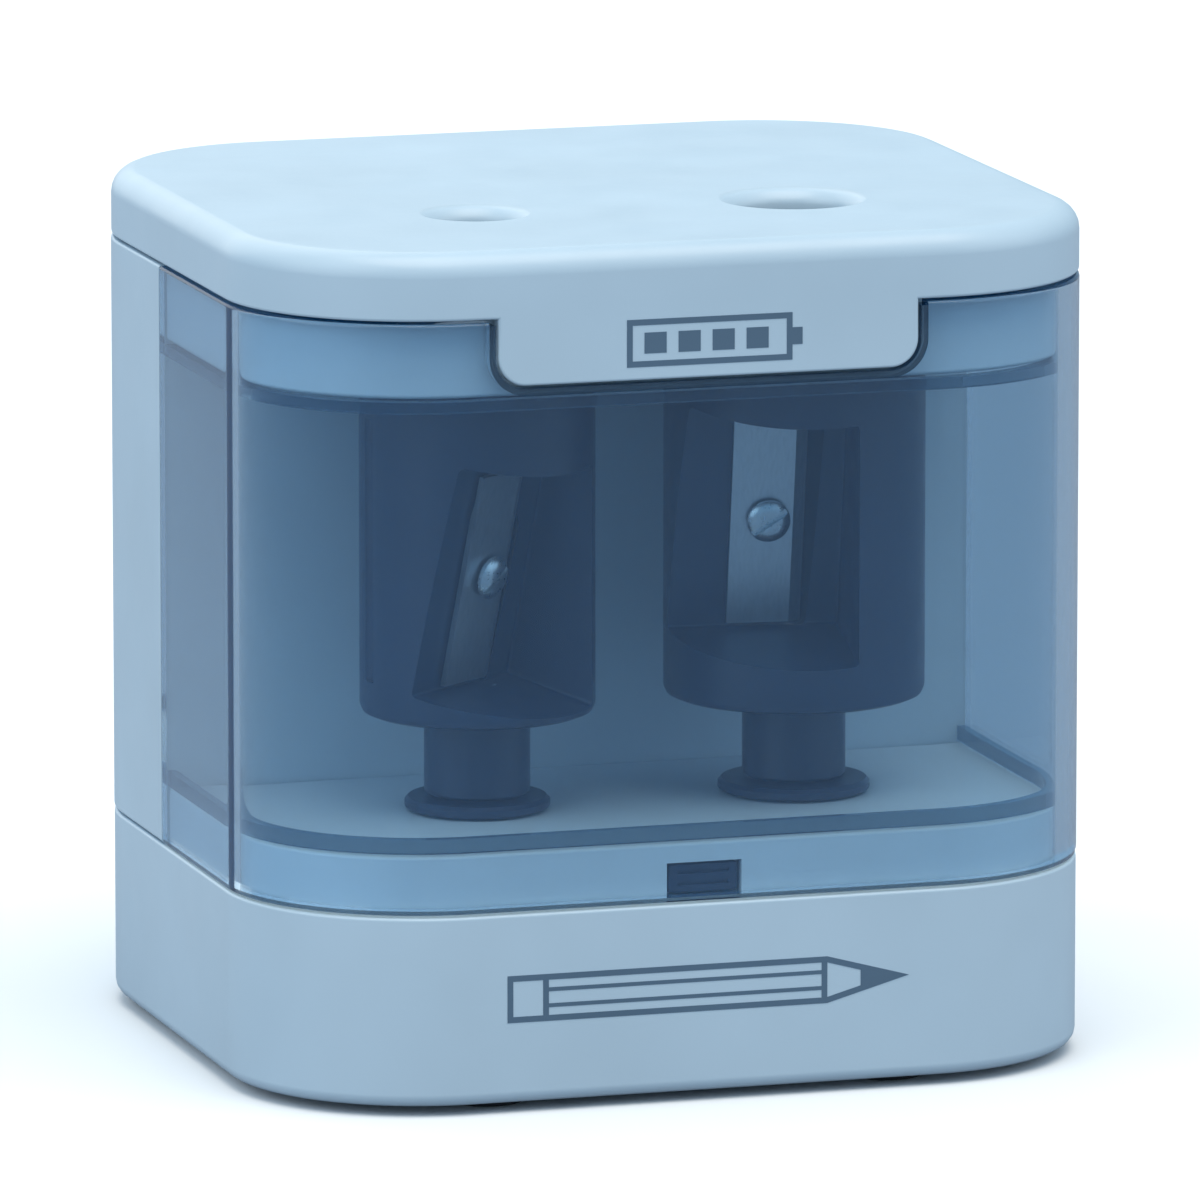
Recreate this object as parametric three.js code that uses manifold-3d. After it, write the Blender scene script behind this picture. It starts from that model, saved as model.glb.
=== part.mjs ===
// A battery pencil sharpener with two pencil holes: a moulded base with the gear
// train in it, a rear housing with the motor and four cells, and a hood that lifts
// off to empty the shavings: a clear front shell, a guide plate and the top cover.
// Millimetres, +Z up, the front faces -Y, and the origin is under the middle of the
// feet, on the table.
import * as THREE from "three";
import { mergeVertices } from "three/addons/utils/BufferGeometryUtils.js";
import Module from "manifold-3d";

const wasm = await Module();
wasm.setup();

// ---- driving dimensions -------------------------------------------------------
const WIDTH = 93; // overall, left to right
const DEPTH = 84; // overall, front to back
const HEIGHT = 91; // table to the top of the cover
const CORNER = 21; // plan radius of the upright corners
const GAP = 0.3; // between pieces that touch on the real object
const RUNNING = 0.1; // radial clearance of a turning fit
const WALL = 2.2; // outer walls
const PLATE = 2; // decks, floors and inner walls
const FOOT_PROUD = 1; // how far the rubber feet hold the base off the table

const BASE_TOP = 21.2; // top of the base's outer wall
const DECK_TOP = 27.4; // floor of the shavings bin
const COVER_HEIGHT = 7; // skirt of the top cover
const COVER_TOP = 2.4; // thickness of its top
const COVER_ROUND = 2.6; // rounding of its top edge
const GUIDE_HEIGHT = 8.1; // guide plate, floor to rim
const TONGUE_WIDTH = 45.7; // tongue at the front of the cover
const TONGUE_DROP = 7.1; // how far it hangs below the skirt
const TONGUE_ROUND = 3; // its lower corners
const BEAD = 1.6; // height of the shell's inner beads
const BEAD_DEPTH = 1.8; // how far they stand inwards

const CUTTER_SPACING = 35; // between the two cutter shafts
const CUTTER_SETBACK = 26.5; // cutter shafts behind the front face
const BIN_DEPTH = 46.5; // front face to the wall behind the cutters
const CUTTER_LENGTH = 37; // body of the cutter, above its neck
const NECK_RADIUS = 5.5;
const SHAFT_RADIUS = 2;
const CONE_SLOPE = Math.tan(THREE.MathUtils.degToRad(12)); // half angle of the point
// `cone` is where the bore starts to narrow and `seat` is the middle of the blade, both
// below the top of the cutter. `facing` turns the blade from the front, in degrees.
const CUTTERS = [
  { side: "left", sign: -1, radius: 12.4, pencil: 4.1, cone: 17, seat: 21.7, facing: 38 },
  { side: "right", sign: 1, radius: 13.9, pencil: 6.1, cone: 6, seat: 17.5, facing: -7 },
];
const CONE_TIP = 0.8; // radius of the cone's small end
const BLADE = { length: 23.2, width: 8, thick: 0.6, hole: 1.7, bite: 0.4 };
const BLADE_SCREW = { head: 2.3, height: 1.1, shank: 1.3, depth: 4 };
const FLAT = { length: 26, throat: 4.5, nearest: 1.1 }; // the blade's seat
const BUSH = { wall: 4, barrel: 4, flange: 1.2, left: 7.6, right: 8.1 };
const COUNTERSINK = { depth: 1.3, spread: 1.6 };

const IDLER_SETBACK = 13.98; // compound gear behind the line of the cutters
const MOTOR_MODULE = 0.6; // tooth size of the motor stage
const TEETH = { drive: 38, small: 18, large: 44, pinion: 10 };
const PRESSURE = THREE.MathUtils.degToRad(20);
const ADDENDUM = 0.9;
const DEDENDUM = 1.25;
const BACKLASH = 0.16;
const DRIVE_GEAR = { low: 8.5, high: 12.5, hub: 4.5, hubTop: 16 };
const SMALL_GEAR_TOP = 13.2;
const LARGE_GEAR = { low: 13.6, high: 17.6 };
const AXLE_RADIUS = 1.5;
const SOCKET_FLOOR = 0.5; // shaft sockets' floors above the base plate
const AXLE_SOCKET = 2.6; // height of the axle's socket

const MOTOR = { width: 20, thick: 15, can: 23, cap: 2.6, shaft: 1, boss: 3, bossHeight: 1.5 };
const CELL = { radius: 7.1, length: 50.5, nub: 2.7, nubHeight: 1.2, count: 4, spacing: 15.2 };
const CONTACT = 0.5; // sheet of the battery contacts
const SPRING = { height: 3, radius: 3.4, wire: 0.35, turns: 2.5 };
const DOOR = { width: 61.4, thick: 1.8, grip: 16 };
const CELL_CLEARANCE = 0.5; // round the row of cells, front and back
const CRADLE_HEIGHT = 12; // ribs that hold the motor
const WIRE_HOLE = 3; // square holes from the bay to the motor's room

const SWITCH = { width: 12.8, depth: 5.8, height: 6.4, button: 0.8, sunk: 1.5, setback: 1.2 };
const SLIDER = { width: 5, height: 2, reach: 1.5, travel: 1.5 };
const LATCH = { width: 7.6, height: 3, depth: 5, setback: 0.4, sill: 0.5 };
const SCREW = { head: 2.6, headHeight: 1, shank: 1.3, length: 11 };
const BOSS_RADIUS = 3.3;
const BOSS_OUT = 11; // screw bosses, out from the centre of the corner's arc
const FOOT = { radius: 4.5, thick: 1.4, fromSide: 24.5, fromEnd: 8 };
const WIRE_RADIUS = 0.6;

// ---- places worked out from them ----------------------------------------------
const FRONT = -DEPTH / 2;
const BACK = DEPTH / 2;
const COVER_BOTTOM = HEIGHT - COVER_HEIGHT;
const RIM = COVER_BOTTOM - GAP; // top of the shell, guide plate and rear housing
const HOUSING_BOTTOM = BASE_TOP + GAP;
const GUIDE_BOTTOM = RIM - GUIDE_HEIGHT;
const INNER = WALL + GAP; // inset of what stands just inside the shell
const BIN_BACK = FRONT + BIN_DEPTH;
const HOOD_BACK = BIN_BACK - GAP;
const CUTTER_Y = FRONT + CUTTER_SETBACK;
const CUTTER_X = CUTTER_SPACING / 2;
const CUTTER_TOP = GUIDE_BOTTOM - 2 * GAP;
const NECK_TOP = CUTTER_TOP - CUTTER_LENGTH; // where the neck meets the body
const SHAFT_TOP = NECK_TOP + 3; // depth of the shaft's hole in the cutter
const pitchRadius = (teeth, size) => (teeth * size) / 2;
const DRIVE_MODULE = (2 * Math.hypot(CUTTER_X, IDLER_SETBACK)) / (TEETH.drive + TEETH.small);
const MOTOR_DISTANCE =
  pitchRadius(TEETH.large, MOTOR_MODULE) + pitchRadius(TEETH.pinion, MOTOR_MODULE);
const IDLER_Y = CUTTER_Y + IDLER_SETBACK;
const MOTOR_Y = IDLER_Y + MOTOR_DISTANCE;
const PINION_ROOM = pitchRadius(TEETH.pinion, MOTOR_MODULE) + 2 * MOTOR_MODULE;
const PLATE_TOP = FOOT_PROUD + PLATE;
const SOCKET_LOW = PLATE_TOP + SOCKET_FLOOR;
const HOUSING_FLOOR = HOUSING_BOTTOM + PLATE;
const MOTOR_BOTTOM = HOUSING_FLOOR + GAP;
const CELL_Y = BACK - DOOR.thick - CELL_CLEARANCE - CELL.radius;
const BAY_HALF = DOOR.width / 2 + GAP;
const BAY_FRONT = CELL_Y - CELL.radius - CELL_CLEARANCE;
const BAY_FLOOR = HOUSING_FLOOR + 1;
const LOWER_CONTACT = BAY_FLOOR + GAP + CONTACT; // upper face of the lower contacts
const UPPER_CONTACT = LOWER_CONTACT + 3 * GAP + SPRING.height + CELL.length + CELL.nubHeight;
const BAY_TOP = UPPER_CONTACT + CONTACT + GAP;
const SWITCH_SHELF = COVER_BOTTOM - SWITCH.height / 2 - SWITCH.sunk;
const SWITCH_Y = BIN_BACK + WALL + SWITCH.setback;
const SLIDER_LOW = RIM + 2 * GAP;
const COVER_CEILING = HEIGHT - COVER_TOP;
const WINDOW_LOW = BASE_TOP + LATCH.sill;

// ---- palette ------------------------------------------------------------------
const finish = (color, roughness, metalness = 0, opacity = 1) =>
  new THREE.MeshStandardMaterial({
    color,
    roughness,
    metalness,
    opacity,
    transparent: opacity < 1,
  });
const WHITE = finish(0xc3d7e4, 0.4);
const CLEAR = finish(0x7fa9c4, 0.12, 0, 0.4);
const DARK = finish(0x2b3f55, 0.45);
const STEEL = finish(0xb9c4cc, 0.3, 1);
const BRIGHT = finish(0xd5dade, 0.2, 1);
const NYLON = finish(0xe6e4d8, 0.5);
const BRONZE = finish(0x9a7a4c, 0.45, 1);
const RUBBER = finish(0x33373b, 0.9);
const CELL_SLEEVE = finish(0x3f6f8c, 0.35);
const RED = finish(0xa8322c, 0.5);
const BLACK = finish(0x1d1f22, 0.5);

// ---- shapes -------------------------------------------------------------------
const CORNER_STEPS = 4; // three.js makes twice as many facets on each quarter arc
const ROUND_STEPS = 16;
const SMALL_ROUND = 3.4; // rounds up to this radius need fewer facets
const SMALL_STEPS = 12;

// A closed three.js geometry as a solid that can be cut and joined.
function solid(geometry) {
  const bare = geometry.index ? geometry.toNonIndexed() : geometry.clone();
  bare.deleteAttribute("normal");
  bare.deleteAttribute("uv");
  const merged = mergeVertices(bare, 1e-4);
  const corners = merged.index.array;
  const faces = [];
  for (let i = 0; i < corners.length; i += 3) {
    const [a, b, c] = corners.slice(i, i + 3);
    if (a !== b && b !== c && c !== a) faces.push(a, b, c);
  }
  return new wasm.Manifold(
    new wasm.Mesh({
      numProp: 3,
      vertProperties: merged.attributes.position.array,
      triVerts: new Uint32Array(faces),
    }),
  );
}

const join = (first, ...others) => others.reduce((sum, other) => sum.add(other), first);
const cut = (first, ...others) => others.reduce((rest, other) => rest.subtract(other), first);

// A block between two opposite corners.
function block(x0, x1, y0, y1, z0, z1) {
  const geometry = new THREE.BoxGeometry(x1 - x0, y1 - y0, z1 - z0);
  return solid(geometry.translate((x0 + x1) / 2, (y0 + y1) / 2, (z0 + z1) / 2));
}

// An upright round bar, or a cone when the two radii differ.
function bar(radius, low, high, x = 0, y = 0, topRadius = radius) {
  const steps = Math.max(radius, topRadius) > SMALL_ROUND ? ROUND_STEPS : SMALL_STEPS;
  const geometry = new THREE.CylinderGeometry(topRadius, radius, high - low, steps);
  return solid(geometry.rotateX(Math.PI / 2).translate(x, y, (low + high) / 2));
}

// The plan outline, moved inwards all round.
function outline(inset) {
  const x = WIDTH / 2 - CORNER;
  const y = DEPTH / 2 - CORNER;
  const radius = CORNER - inset;
  const shape = new THREE.Shape();
  shape.absarc(x, -y, radius, -Math.PI / 2, 0);
  shape.absarc(x, y, radius, 0, Math.PI / 2);
  shape.absarc(-x, y, radius, Math.PI / 2, Math.PI);
  shape.absarc(-x, -y, radius, Math.PI, (3 * Math.PI) / 2);
  return shape;
}

function prism(shape, low, high) {
  const geometry = new THREE.ExtrudeGeometry(shape, {
    depth: high - low,
    bevelEnabled: false,
    curveSegments: CORNER_STEPS,
  });
  return solid(geometry.translate(0, 0, low));
}

const slab = (inset, low, high) => prism(outline(inset), low, high);

// What lies in front of, or behind, an upright plane across the sharpener.
const ahead = (piece, y) =>
  piece.intersect(block(-WIDTH, WIDTH, -DEPTH, y, -HEIGHT, 2 * HEIGHT));
const behind = (piece, y) =>
  piece.intersect(block(-WIDTH, WIDTH, y, DEPTH, -HEIGHT, 2 * HEIGHT));

// An involute gear blank with its teeth, one tooth centred on +X.
function toothed(teeth, size, low, high) {
  const pitch = pitchRadius(teeth, size);
  const base = pitch * Math.cos(PRESSURE);
  const root = pitch - DEDENDUM * size;
  const tip = pitch + ADDENDUM * size;
  const involute = (radius) => {
    const angle = Math.acos(Math.min(1, base / radius));
    return Math.tan(angle) - angle;
  };
  const atPitch = ((Math.PI * size) / 2 - BACKLASH) / 2 / pitch;
  const half = (radius) => atPitch + involute(pitch) - involute(Math.max(radius, base));
  const radii = [root, tip];
  if (base > root + 0.1 * size) radii.splice(1, 0, base);
  const points = [];
  for (let tooth = 0; tooth < teeth; tooth += 1) {
    const centre = (tooth * 2 * Math.PI) / teeth;
    const place = (radius, side) => {
      const angle = centre + side * half(radius);
      points.push(new THREE.Vector2(radius * Math.cos(angle), radius * Math.sin(angle)));
    };
    radii.forEach((radius) => place(radius, -1));
    [...radii].reverse().forEach((radius) => place(radius, 1));
  }
  return prism(new THREE.Shape(points), low, high);
}

// Where a driven gear's first tooth points, so that it meshes at rest with a driver
// whose first tooth points along `turn`, when the driven gear lies along `heading`.
function meshed(driverTeeth, turn, drivenTeeth, heading) {
  const pitch = (2 * Math.PI) / driverTeeth;
  const offset = (((turn - heading) % pitch) + pitch) % pitch;
  return heading + Math.PI + Math.PI / drivenTeeth - (offset * driverTeeth) / drivenTeeth;
}

const sharpener = new THREE.Group();

// Adds a solid or a geometry to the model as one named piece.
function piece(name, made, material, place = {}) {
  let geometry = made;
  if (!made.isBufferGeometry) {
    const { vertProperties, triVerts } = made.getMesh();
    geometry = new THREE.BufferGeometry();
    geometry.setAttribute("position", new THREE.BufferAttribute(vertProperties, 3));
    geometry.setIndex(new THREE.BufferAttribute(triVerts, 1));
    geometry.computeVertexNormals();
  }
  const mesh = new THREE.Mesh(geometry, material);
  mesh.name = name;
  mesh.position.set(place.x ?? 0, place.y ?? 0, place.z ?? 0);
  mesh.rotation.z = place.turn ?? 0;
  sharpener.add(mesh);
  return mesh;
}

// The four corners, numbered from the front left, anticlockwise from above.
const CORNERS = [
  [-1, -1],
  [1, -1],
  [1, 1],
  [-1, 1],
];
const bossPlaces = CORNERS.map(([x, y]) => [
  x * (WIDTH / 2 - CORNER + BOSS_OUT * Math.SQRT1_2),
  y * (DEPTH / 2 - CORNER + BOSS_OUT * Math.SQRT1_2),
]);
const footPlaces = CORNERS.map(([x, y]) => [
  x * (WIDTH / 2 - FOOT.fromSide),
  y * (DEPTH / 2 - FOOT.fromEnd),
]);

// ---- base ---------------------------------------------------------------------
function baseHousing() {
  const spigot = ahead(slab(INNER, BASE_TOP - PLATE, DECK_TOP), HOOD_BACK);
  const spigotHollow = ahead(
    slab(INNER + PLATE, BASE_TOP - 2 * PLATE, DECK_TOP - PLATE),
    HOOD_BACK - PLATE,
  );
  const body = join(slab(0, FOOT_PROUD, BASE_TOP), spigot);
  const hollow = slab(WALL, FOOT_PROUD - 1, BASE_TOP - WALL);
  const bosses = bossPlaces.map(([x, y]) =>
    bar(BOSS_RADIUS, PLATE_TOP + GAP, (y < 0 ? DECK_TOP : BASE_TOP) - 1, x, y),
  );
  const bossHoles = bossPlaces.map(([x, y]) =>
    bar(SCREW.shank + GAP, PLATE_TOP, PLATE_TOP + SCREW.length, x, y),
  );
  const bushHoles = CUTTERS.map(({ sign }) =>
    bar(SHAFT_RADIUS + BUSH.wall + GAP, 0, HEIGHT, sign * CUTTER_X, CUTTER_Y),
  );
  const window = block(
    -LATCH.width / 2 - GAP,
    LATCH.width / 2 + GAP,
    FRONT,
    FRONT + INNER + 2 * PLATE,
    WINDOW_LOW,
    DECK_TOP - PLATE,
  );
  const axleSocket = cut(
    bar(AXLE_RADIUS + PLATE, LARGE_GEAR.high + 1, DECK_TOP - 1, 0, IDLER_Y),
    bar(AXLE_RADIUS + GAP, 0, DECK_TOP - PLATE, 0, IDLER_Y),
  );
  return join(
    cut(
      join(cut(body, hollow, spigotHollow), ...bosses),
      ...bossHoles,
      ...bushHoles,
      window,
      bar(AXLE_RADIUS + PLATE, 0, DECK_TOP - PLATE, 0, IDLER_Y),
      bar(PINION_ROOM, 0, BASE_TOP + 1, 0, MOTOR_Y),
    ),
    axleSocket,
  );
}

function basePlate() {
  const shaftSocket = (x) =>
    cut(
      bar(SHAFT_RADIUS + PLATE, PLATE_TOP - 1, DRIVE_GEAR.low - GAP, x, CUTTER_Y),
      bar(SHAFT_RADIUS + RUNNING, SOCKET_LOW, HEIGHT, x, CUTTER_Y),
    );
  const axleSocket = cut(
    bar(AXLE_RADIUS + PLATE, PLATE_TOP - 1, PLATE_TOP + AXLE_SOCKET, 0, IDLER_Y),
    bar(AXLE_RADIUS + GAP, SOCKET_LOW, HEIGHT, 0, IDLER_Y),
  );
  return join(
    cut(
      slab(INNER, FOOT_PROUD, PLATE_TOP),
      ...bossPlaces.map(([x, y]) => bar(SCREW.shank + GAP, 0, HEIGHT, x, y)),
      ...bossPlaces.map(([x, y]) =>
        bar(SCREW.head + GAP, 0, FOOT_PROUD + SCREW.headHeight + GAP, x, y),
      ),
      ...footPlaces.map(([x, y]) => bar(FOOT.radius + GAP, 0, FOOT.thick + GAP, x, y)),
    ),
    shaftSocket(-CUTTER_X),
    shaftSocket(CUTTER_X),
    axleSocket,
  );
}

const tappingScrew = () =>
  join(
    bar(SCREW.head, 0, SCREW.headHeight),
    bar(SCREW.shank, SCREW.headHeight / 2, SCREW.length),
  );

piece("base_housing", baseHousing(), WHITE);
piece("base_plate", basePlate(), WHITE);
bossPlaces.forEach(([x, y], i) =>
  piece(`base_screw_${i + 1}`, tappingScrew(), BRIGHT, { x, y, z: FOOT_PROUD }),
);
footPlaces.forEach(([x, y], i) =>
  piece(`foot_${i + 1}`, bar(FOOT.radius, 0, FOOT.thick), RUBBER, { x, y }),
);

// Catch behind the window at the foot of the shell.
const latchFront = FRONT + INNER + LATCH.setback;
piece(
  "shell_latch",
  block(
    -LATCH.width / 2,
    LATCH.width / 2,
    latchFront,
    latchFront + LATCH.depth,
    WINDOW_LOW + GAP,
    WINDOW_LOW + GAP + LATCH.height,
  ),
  DARK,
);

// ---- gear train ---------------------------------------------------------------
const headingTo = (x) => Math.atan2(CUTTER_Y - IDLER_Y, x);
const idlerTurn = headingTo(CUTTER_X);
const bored = (gear, radius) => cut(gear, bar(radius, 0, HEIGHT));

function driveGear() {
  const { low, high, hub, hubTop } = DRIVE_GEAR;
  const rim = toothed(TEETH.drive, DRIVE_MODULE, low, high);
  return bored(join(rim, bar(hub, low, hubTop)), SHAFT_RADIUS + GAP);
}

// The small gear and the large one are one moulding, so the large one is turned to
// put a tooth on the line to the motor whatever the small one's turn is.
function compoundGear() {
  const low = PLATE_TOP + AXLE_SOCKET + RUNNING;
  const small = toothed(TEETH.small, DRIVE_MODULE, low + GAP, SMALL_GEAR_TOP);
  const large = toothed(TEETH.large, MOTOR_MODULE, LARGE_GEAR.low, LARGE_GEAR.high);
  const turned = large.rotate([0, 0, THREE.MathUtils.radToDeg(Math.PI / 2 - idlerTurn)]);
  const hub = bar(AXLE_RADIUS + PLATE + 1, SMALL_GEAR_TOP - 1, LARGE_GEAR.high);
  return bored(join(small, turned, hub), AXLE_RADIUS + RUNNING);
}

piece("compound_gear", compoundGear(), NYLON, { y: IDLER_Y, turn: idlerTurn });
piece(
  "compound_gear_axle",
  bar(AXLE_RADIUS, SOCKET_LOW + GAP, DECK_TOP - PLATE - GAP),
  STEEL,
  { y: IDLER_Y },
);
piece(
  "motor_pinion",
  bored(
    toothed(TEETH.pinion, MOTOR_MODULE, LARGE_GEAR.low - 0.5, LARGE_GEAR.high + 0.5),
    MOTOR.shaft + GAP,
  ),
  BRONZE,
  { y: MOTOR_Y, turn: meshed(TEETH.large, Math.PI / 2, TEETH.pinion, Math.PI / 2) },
);

// ---- cutters ------------------------------------------------------------------
// The cutter is made facing the front. Its blade lies against a flat that is tangent
// to the pencil's cone, and the flat leans with the cone.
const bladeAcross = GAP - BLADE.width / 2; // its cutting edge just passes the centre

// Stands a piece made round the origin, facing up, on the flat at the blade's middle.
function onFlat(made, { pencil, cone, seat }, across, out) {
  const lean = THREE.MathUtils.radToDeg(Math.atan(CONE_SLOPE));
  const coneRadius = pencil + GAP - (seat - cone) * CONE_SLOPE;
  const flat = Math.max(coneRadius, FLAT.nearest) - BLADE.bite;
  return made.rotate([90 + lean, 0, 0]).translate([across, -flat - out, CUTTER_TOP - seat]);
}

function cutterHolder(cutter) {
  const { radius, pencil } = cutter;
  const coneTop = CUTTER_TOP - cutter.cone;
  const tipZ = coneTop - (pencil + GAP - CONE_TIP) / CONE_SLOPE;
  const body = join(
    bar(radius, NECK_TOP, CUTTER_TOP),
    bar(NECK_RADIUS, DECK_TOP + BUSH.flange + 2 * GAP, NECK_TOP + 1),
  );
  const cone = join(
    bar(CONE_TIP, tipZ, coneTop, 0, 0, pencil + GAP),
    bar(pencil + GAP, coneTop - 0.01, CUTTER_TOP + 1),
  );
  const halfFlat = FLAT.length / 2;
  const flat = onFlat(
    block(-2 * radius, FLAT.throat, -halfFlat, halfFlat, 0, 2 * radius),
    cutter,
    0,
    0,
  );
  const screwHole = onFlat(
    bar(BLADE_SCREW.shank + GAP, -BLADE_SCREW.depth - GAP, 1),
    cutter,
    bladeAcross,
    0,
  );
  return cut(body, cone, flat, screwHole, bar(SHAFT_RADIUS + GAP, 0, SHAFT_TOP));
}

function blade(cutter) {
  const { length, width, thick, hole } = BLADE;
  const sheet = block(-width / 2, width / 2, -length / 2, length / 2, 0, thick);
  return onFlat(cut(sheet, bar(hole, -1, 1)), cutter, bladeAcross, GAP);
}

function bladeScrew(cutter) {
  const { head, height, shank, depth } = BLADE_SCREW;
  const seat = 2 * GAP + BLADE.thick;
  const shape = join(bar(head, 0, height), bar(shank, -seat - depth, height / 2));
  return onFlat(shape, cutter, bladeAcross, seat);
}

function deckBush({ side }) {
  const low = DECK_TOP + GAP;
  const barrel = bar(SHAFT_RADIUS + BUSH.wall, DECK_TOP - BUSH.barrel - 1, low + GAP);
  const collar = bar(BUSH[side], low, low + BUSH.flange);
  return bored(join(barrel, collar), SHAFT_RADIUS + RUNNING);
}

for (const cutter of CUTTERS) {
  const { side, sign, facing } = cutter;
  const place = { x: sign * CUTTER_X, y: CUTTER_Y };
  const turned = { ...place, turn: THREE.MathUtils.degToRad(facing) };
  piece(`${side}_drive_gear`, driveGear(), NYLON, {
    ...place,
    turn: meshed(TEETH.small, idlerTurn, TEETH.drive, headingTo(place.x)),
  });
  piece(`${side}_shaft`, bar(SHAFT_RADIUS, SOCKET_LOW + GAP, SHAFT_TOP - GAP), STEEL, place);
  piece(`${side}_deck_bush`, deckBush(cutter), DARK, place);
  piece(`${side}_cutter_holder`, cutterHolder(cutter), DARK, turned);
  piece(`${side}_blade`, blade(cutter), BRIGHT, turned);
  piece(`${side}_blade_screw`, bladeScrew(cutter), BRIGHT, turned);
}

// ---- rear housing with the motor and the cells --------------------------------
const doorLow = BAY_FLOOR + GAP;
const doorHigh = BAY_TOP - GAP;

// The places of the cells in their row, counted from the left.
const cellX = (index) => (index - (CELL.count - 1) / 2) * CELL.spacing;
const endCellX = cellX(CELL.count - 1);

function rearHousing() {
  const body = behind(slab(0, HOUSING_BOTTOM, RIM), BIN_BACK);
  const room = behind(slab(WALL, HOUSING_FLOOR, RIM + 1), BIN_BACK + WALL);
  const bay = block(
    -BAY_HALF - PLATE,
    BAY_HALF + PLATE,
    BAY_FRONT - PLATE,
    BACK + 1,
    HOUSING_FLOOR - 1,
    BAY_TOP + PLATE,
  );
  const cradle = [-1, 1].map((side) => {
    const near = MOTOR.width / 2 + GAP;
    const [x0, x1] = [side * near, side * (near + PLATE)].sort((a, b) => a - b);
    const top = HOUSING_FLOOR + CRADLE_HEIGHT;
    return block(x0, x1, BIN_BACK + 1, BAY_FRONT - 1, HOUSING_FLOOR - 1, top);
  });
  const shelf = block(
    -CUTTER_X - SWITCH.width,
    CUTTER_X + SWITCH.width,
    BIN_BACK + 1,
    SWITCH_Y + SWITCH.depth + 1,
    SWITCH_SHELF - PLATE,
    SWITCH_SHELF,
  );
  return cut(
    join(cut(body, cut(room, bay)), ...cradle, shelf),
    block(-BAY_HALF, BAY_HALF, BAY_FRONT, BACK + 1, BAY_FLOOR, BAY_TOP),
    bar(PINION_ROOM, 0, HOUSING_FLOOR + 1, 0, MOTOR_Y),
    wireHole(-1),
    wireHole(1),
  );
}
const wireHole = (side) =>
  block(
    side * endCellX - WIRE_HOLE / 2,
    side * endCellX + WIRE_HOLE / 2,
    BAY_FRONT - PLATE - 1,
    BAY_FRONT + 1,
    BAY_FLOOR,
    BAY_FLOOR + WIRE_HOLE,
  );

function batteryDoor() {
  const half = DOOR.width / 2;
  const panel = cut(slab(0, doorLow, doorHigh), slab(DOOR.thick, 0, HEIGHT)).intersect(
    block(-half, half, CELL_Y, BACK + 1, doorLow, doorHigh),
  );
  const grip = block(
    -DOOR.grip / 2,
    DOOR.grip / 2,
    BACK - DOOR.thick / 2,
    BACK + 1,
    doorHigh - 6,
    doorHigh - 3,
  );
  return cut(panel, grip);
}

function motorCan() {
  const drum = bar(MOTOR.width / 2, 0, MOTOR.can);
  const flats = block(-WIDTH, WIDTH, -MOTOR.thick / 2, MOTOR.thick / 2, 0, MOTOR.can);
  const boss = bar(MOTOR.boss, -MOTOR.bossHeight, 1);
  return cut(
    join(drum.intersect(flats), boss),
    bar(MOTOR.shaft + RUNNING, -HEIGHT, MOTOR.can - PLATE),
  );
}

function motorCap() {
  const flats = block(-WIDTH, WIDTH, -MOTOR.thick / 2, MOTOR.thick / 2, 0, MOTOR.cap);
  return bar(MOTOR.width / 2 - 0.5, 0, MOTOR.cap).intersect(flats);
}

function cell() {
  return join(bar(CELL.radius, 0, CELL.length), bar(CELL.nub, 1, CELL.length + CELL.nubHeight));
}

// A contact spring as a wire wound up from its plate.
class Coil extends THREE.Curve {
  getPoint(t) {
    const angle = t * SPRING.turns * 2 * Math.PI;
    const radius = SPRING.radius * (1 - 0.35 * t);
    const rise = SPRING.wire + t * (SPRING.height - 2 * SPRING.wire - GAP);
    return new THREE.Vector3(radius * Math.cos(angle), radius * Math.sin(angle), rise);
  }
}

// A round wire along a curve, closed at both ends.
function wire(curve, radius, steps) {
  const section = new THREE.Shape();
  section.absarc(0, 0, radius, 0, 2 * Math.PI);
  return new THREE.ExtrudeGeometry(section, {
    steps,
    bevelEnabled: false,
    curveSegments: CORNER_STEPS,
    extrudePath: curve,
  });
}

piece("rear_housing", rearHousing(), WHITE);
piece("battery_door", batteryDoor(), WHITE);
piece("motor_can", motorCan(), STEEL, { y: MOTOR_Y, z: MOTOR_BOTTOM });
piece("motor_end_cap", motorCap(), DARK, {
  y: MOTOR_Y,
  z: MOTOR_BOTTOM + MOTOR.can + GAP,
});
piece(
  "motor_shaft",
  bar(MOTOR.shaft, LARGE_GEAR.low - 1, MOTOR_BOTTOM + MOTOR.can - PLATE - 1),
  STEEL,
  { y: MOTOR_Y },
);

// Cells alternate, so a link at the top joins each pair and one at the bottom joins
// the two middle cells. A turned cell hangs from its spring.
for (let index = 0; index < CELL.count; index += 1) {
  const upright = index % 2 === 0;
  const toward = upright ? 1 : -1;
  const face = upright ? LOWER_CONTACT : UPPER_CONTACT;
  const coil = piece(`contact_spring_${index + 1}`, wire(new Coil(), SPRING.wire, 14), BRIGHT, {
    x: cellX(index),
    y: CELL_Y,
    z: face + toward * GAP,
  });
  const cellPiece = piece(`battery_cell_${index + 1}`, cell(), CELL_SLEEVE, {
    x: cellX(index),
    y: CELL_Y,
    z: face + toward * (2 * GAP + SPRING.height),
  });
  coil.rotation.x = upright ? 0 : Math.PI;
  cellPiece.rotation.x = upright ? 0 : Math.PI;
}

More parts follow.
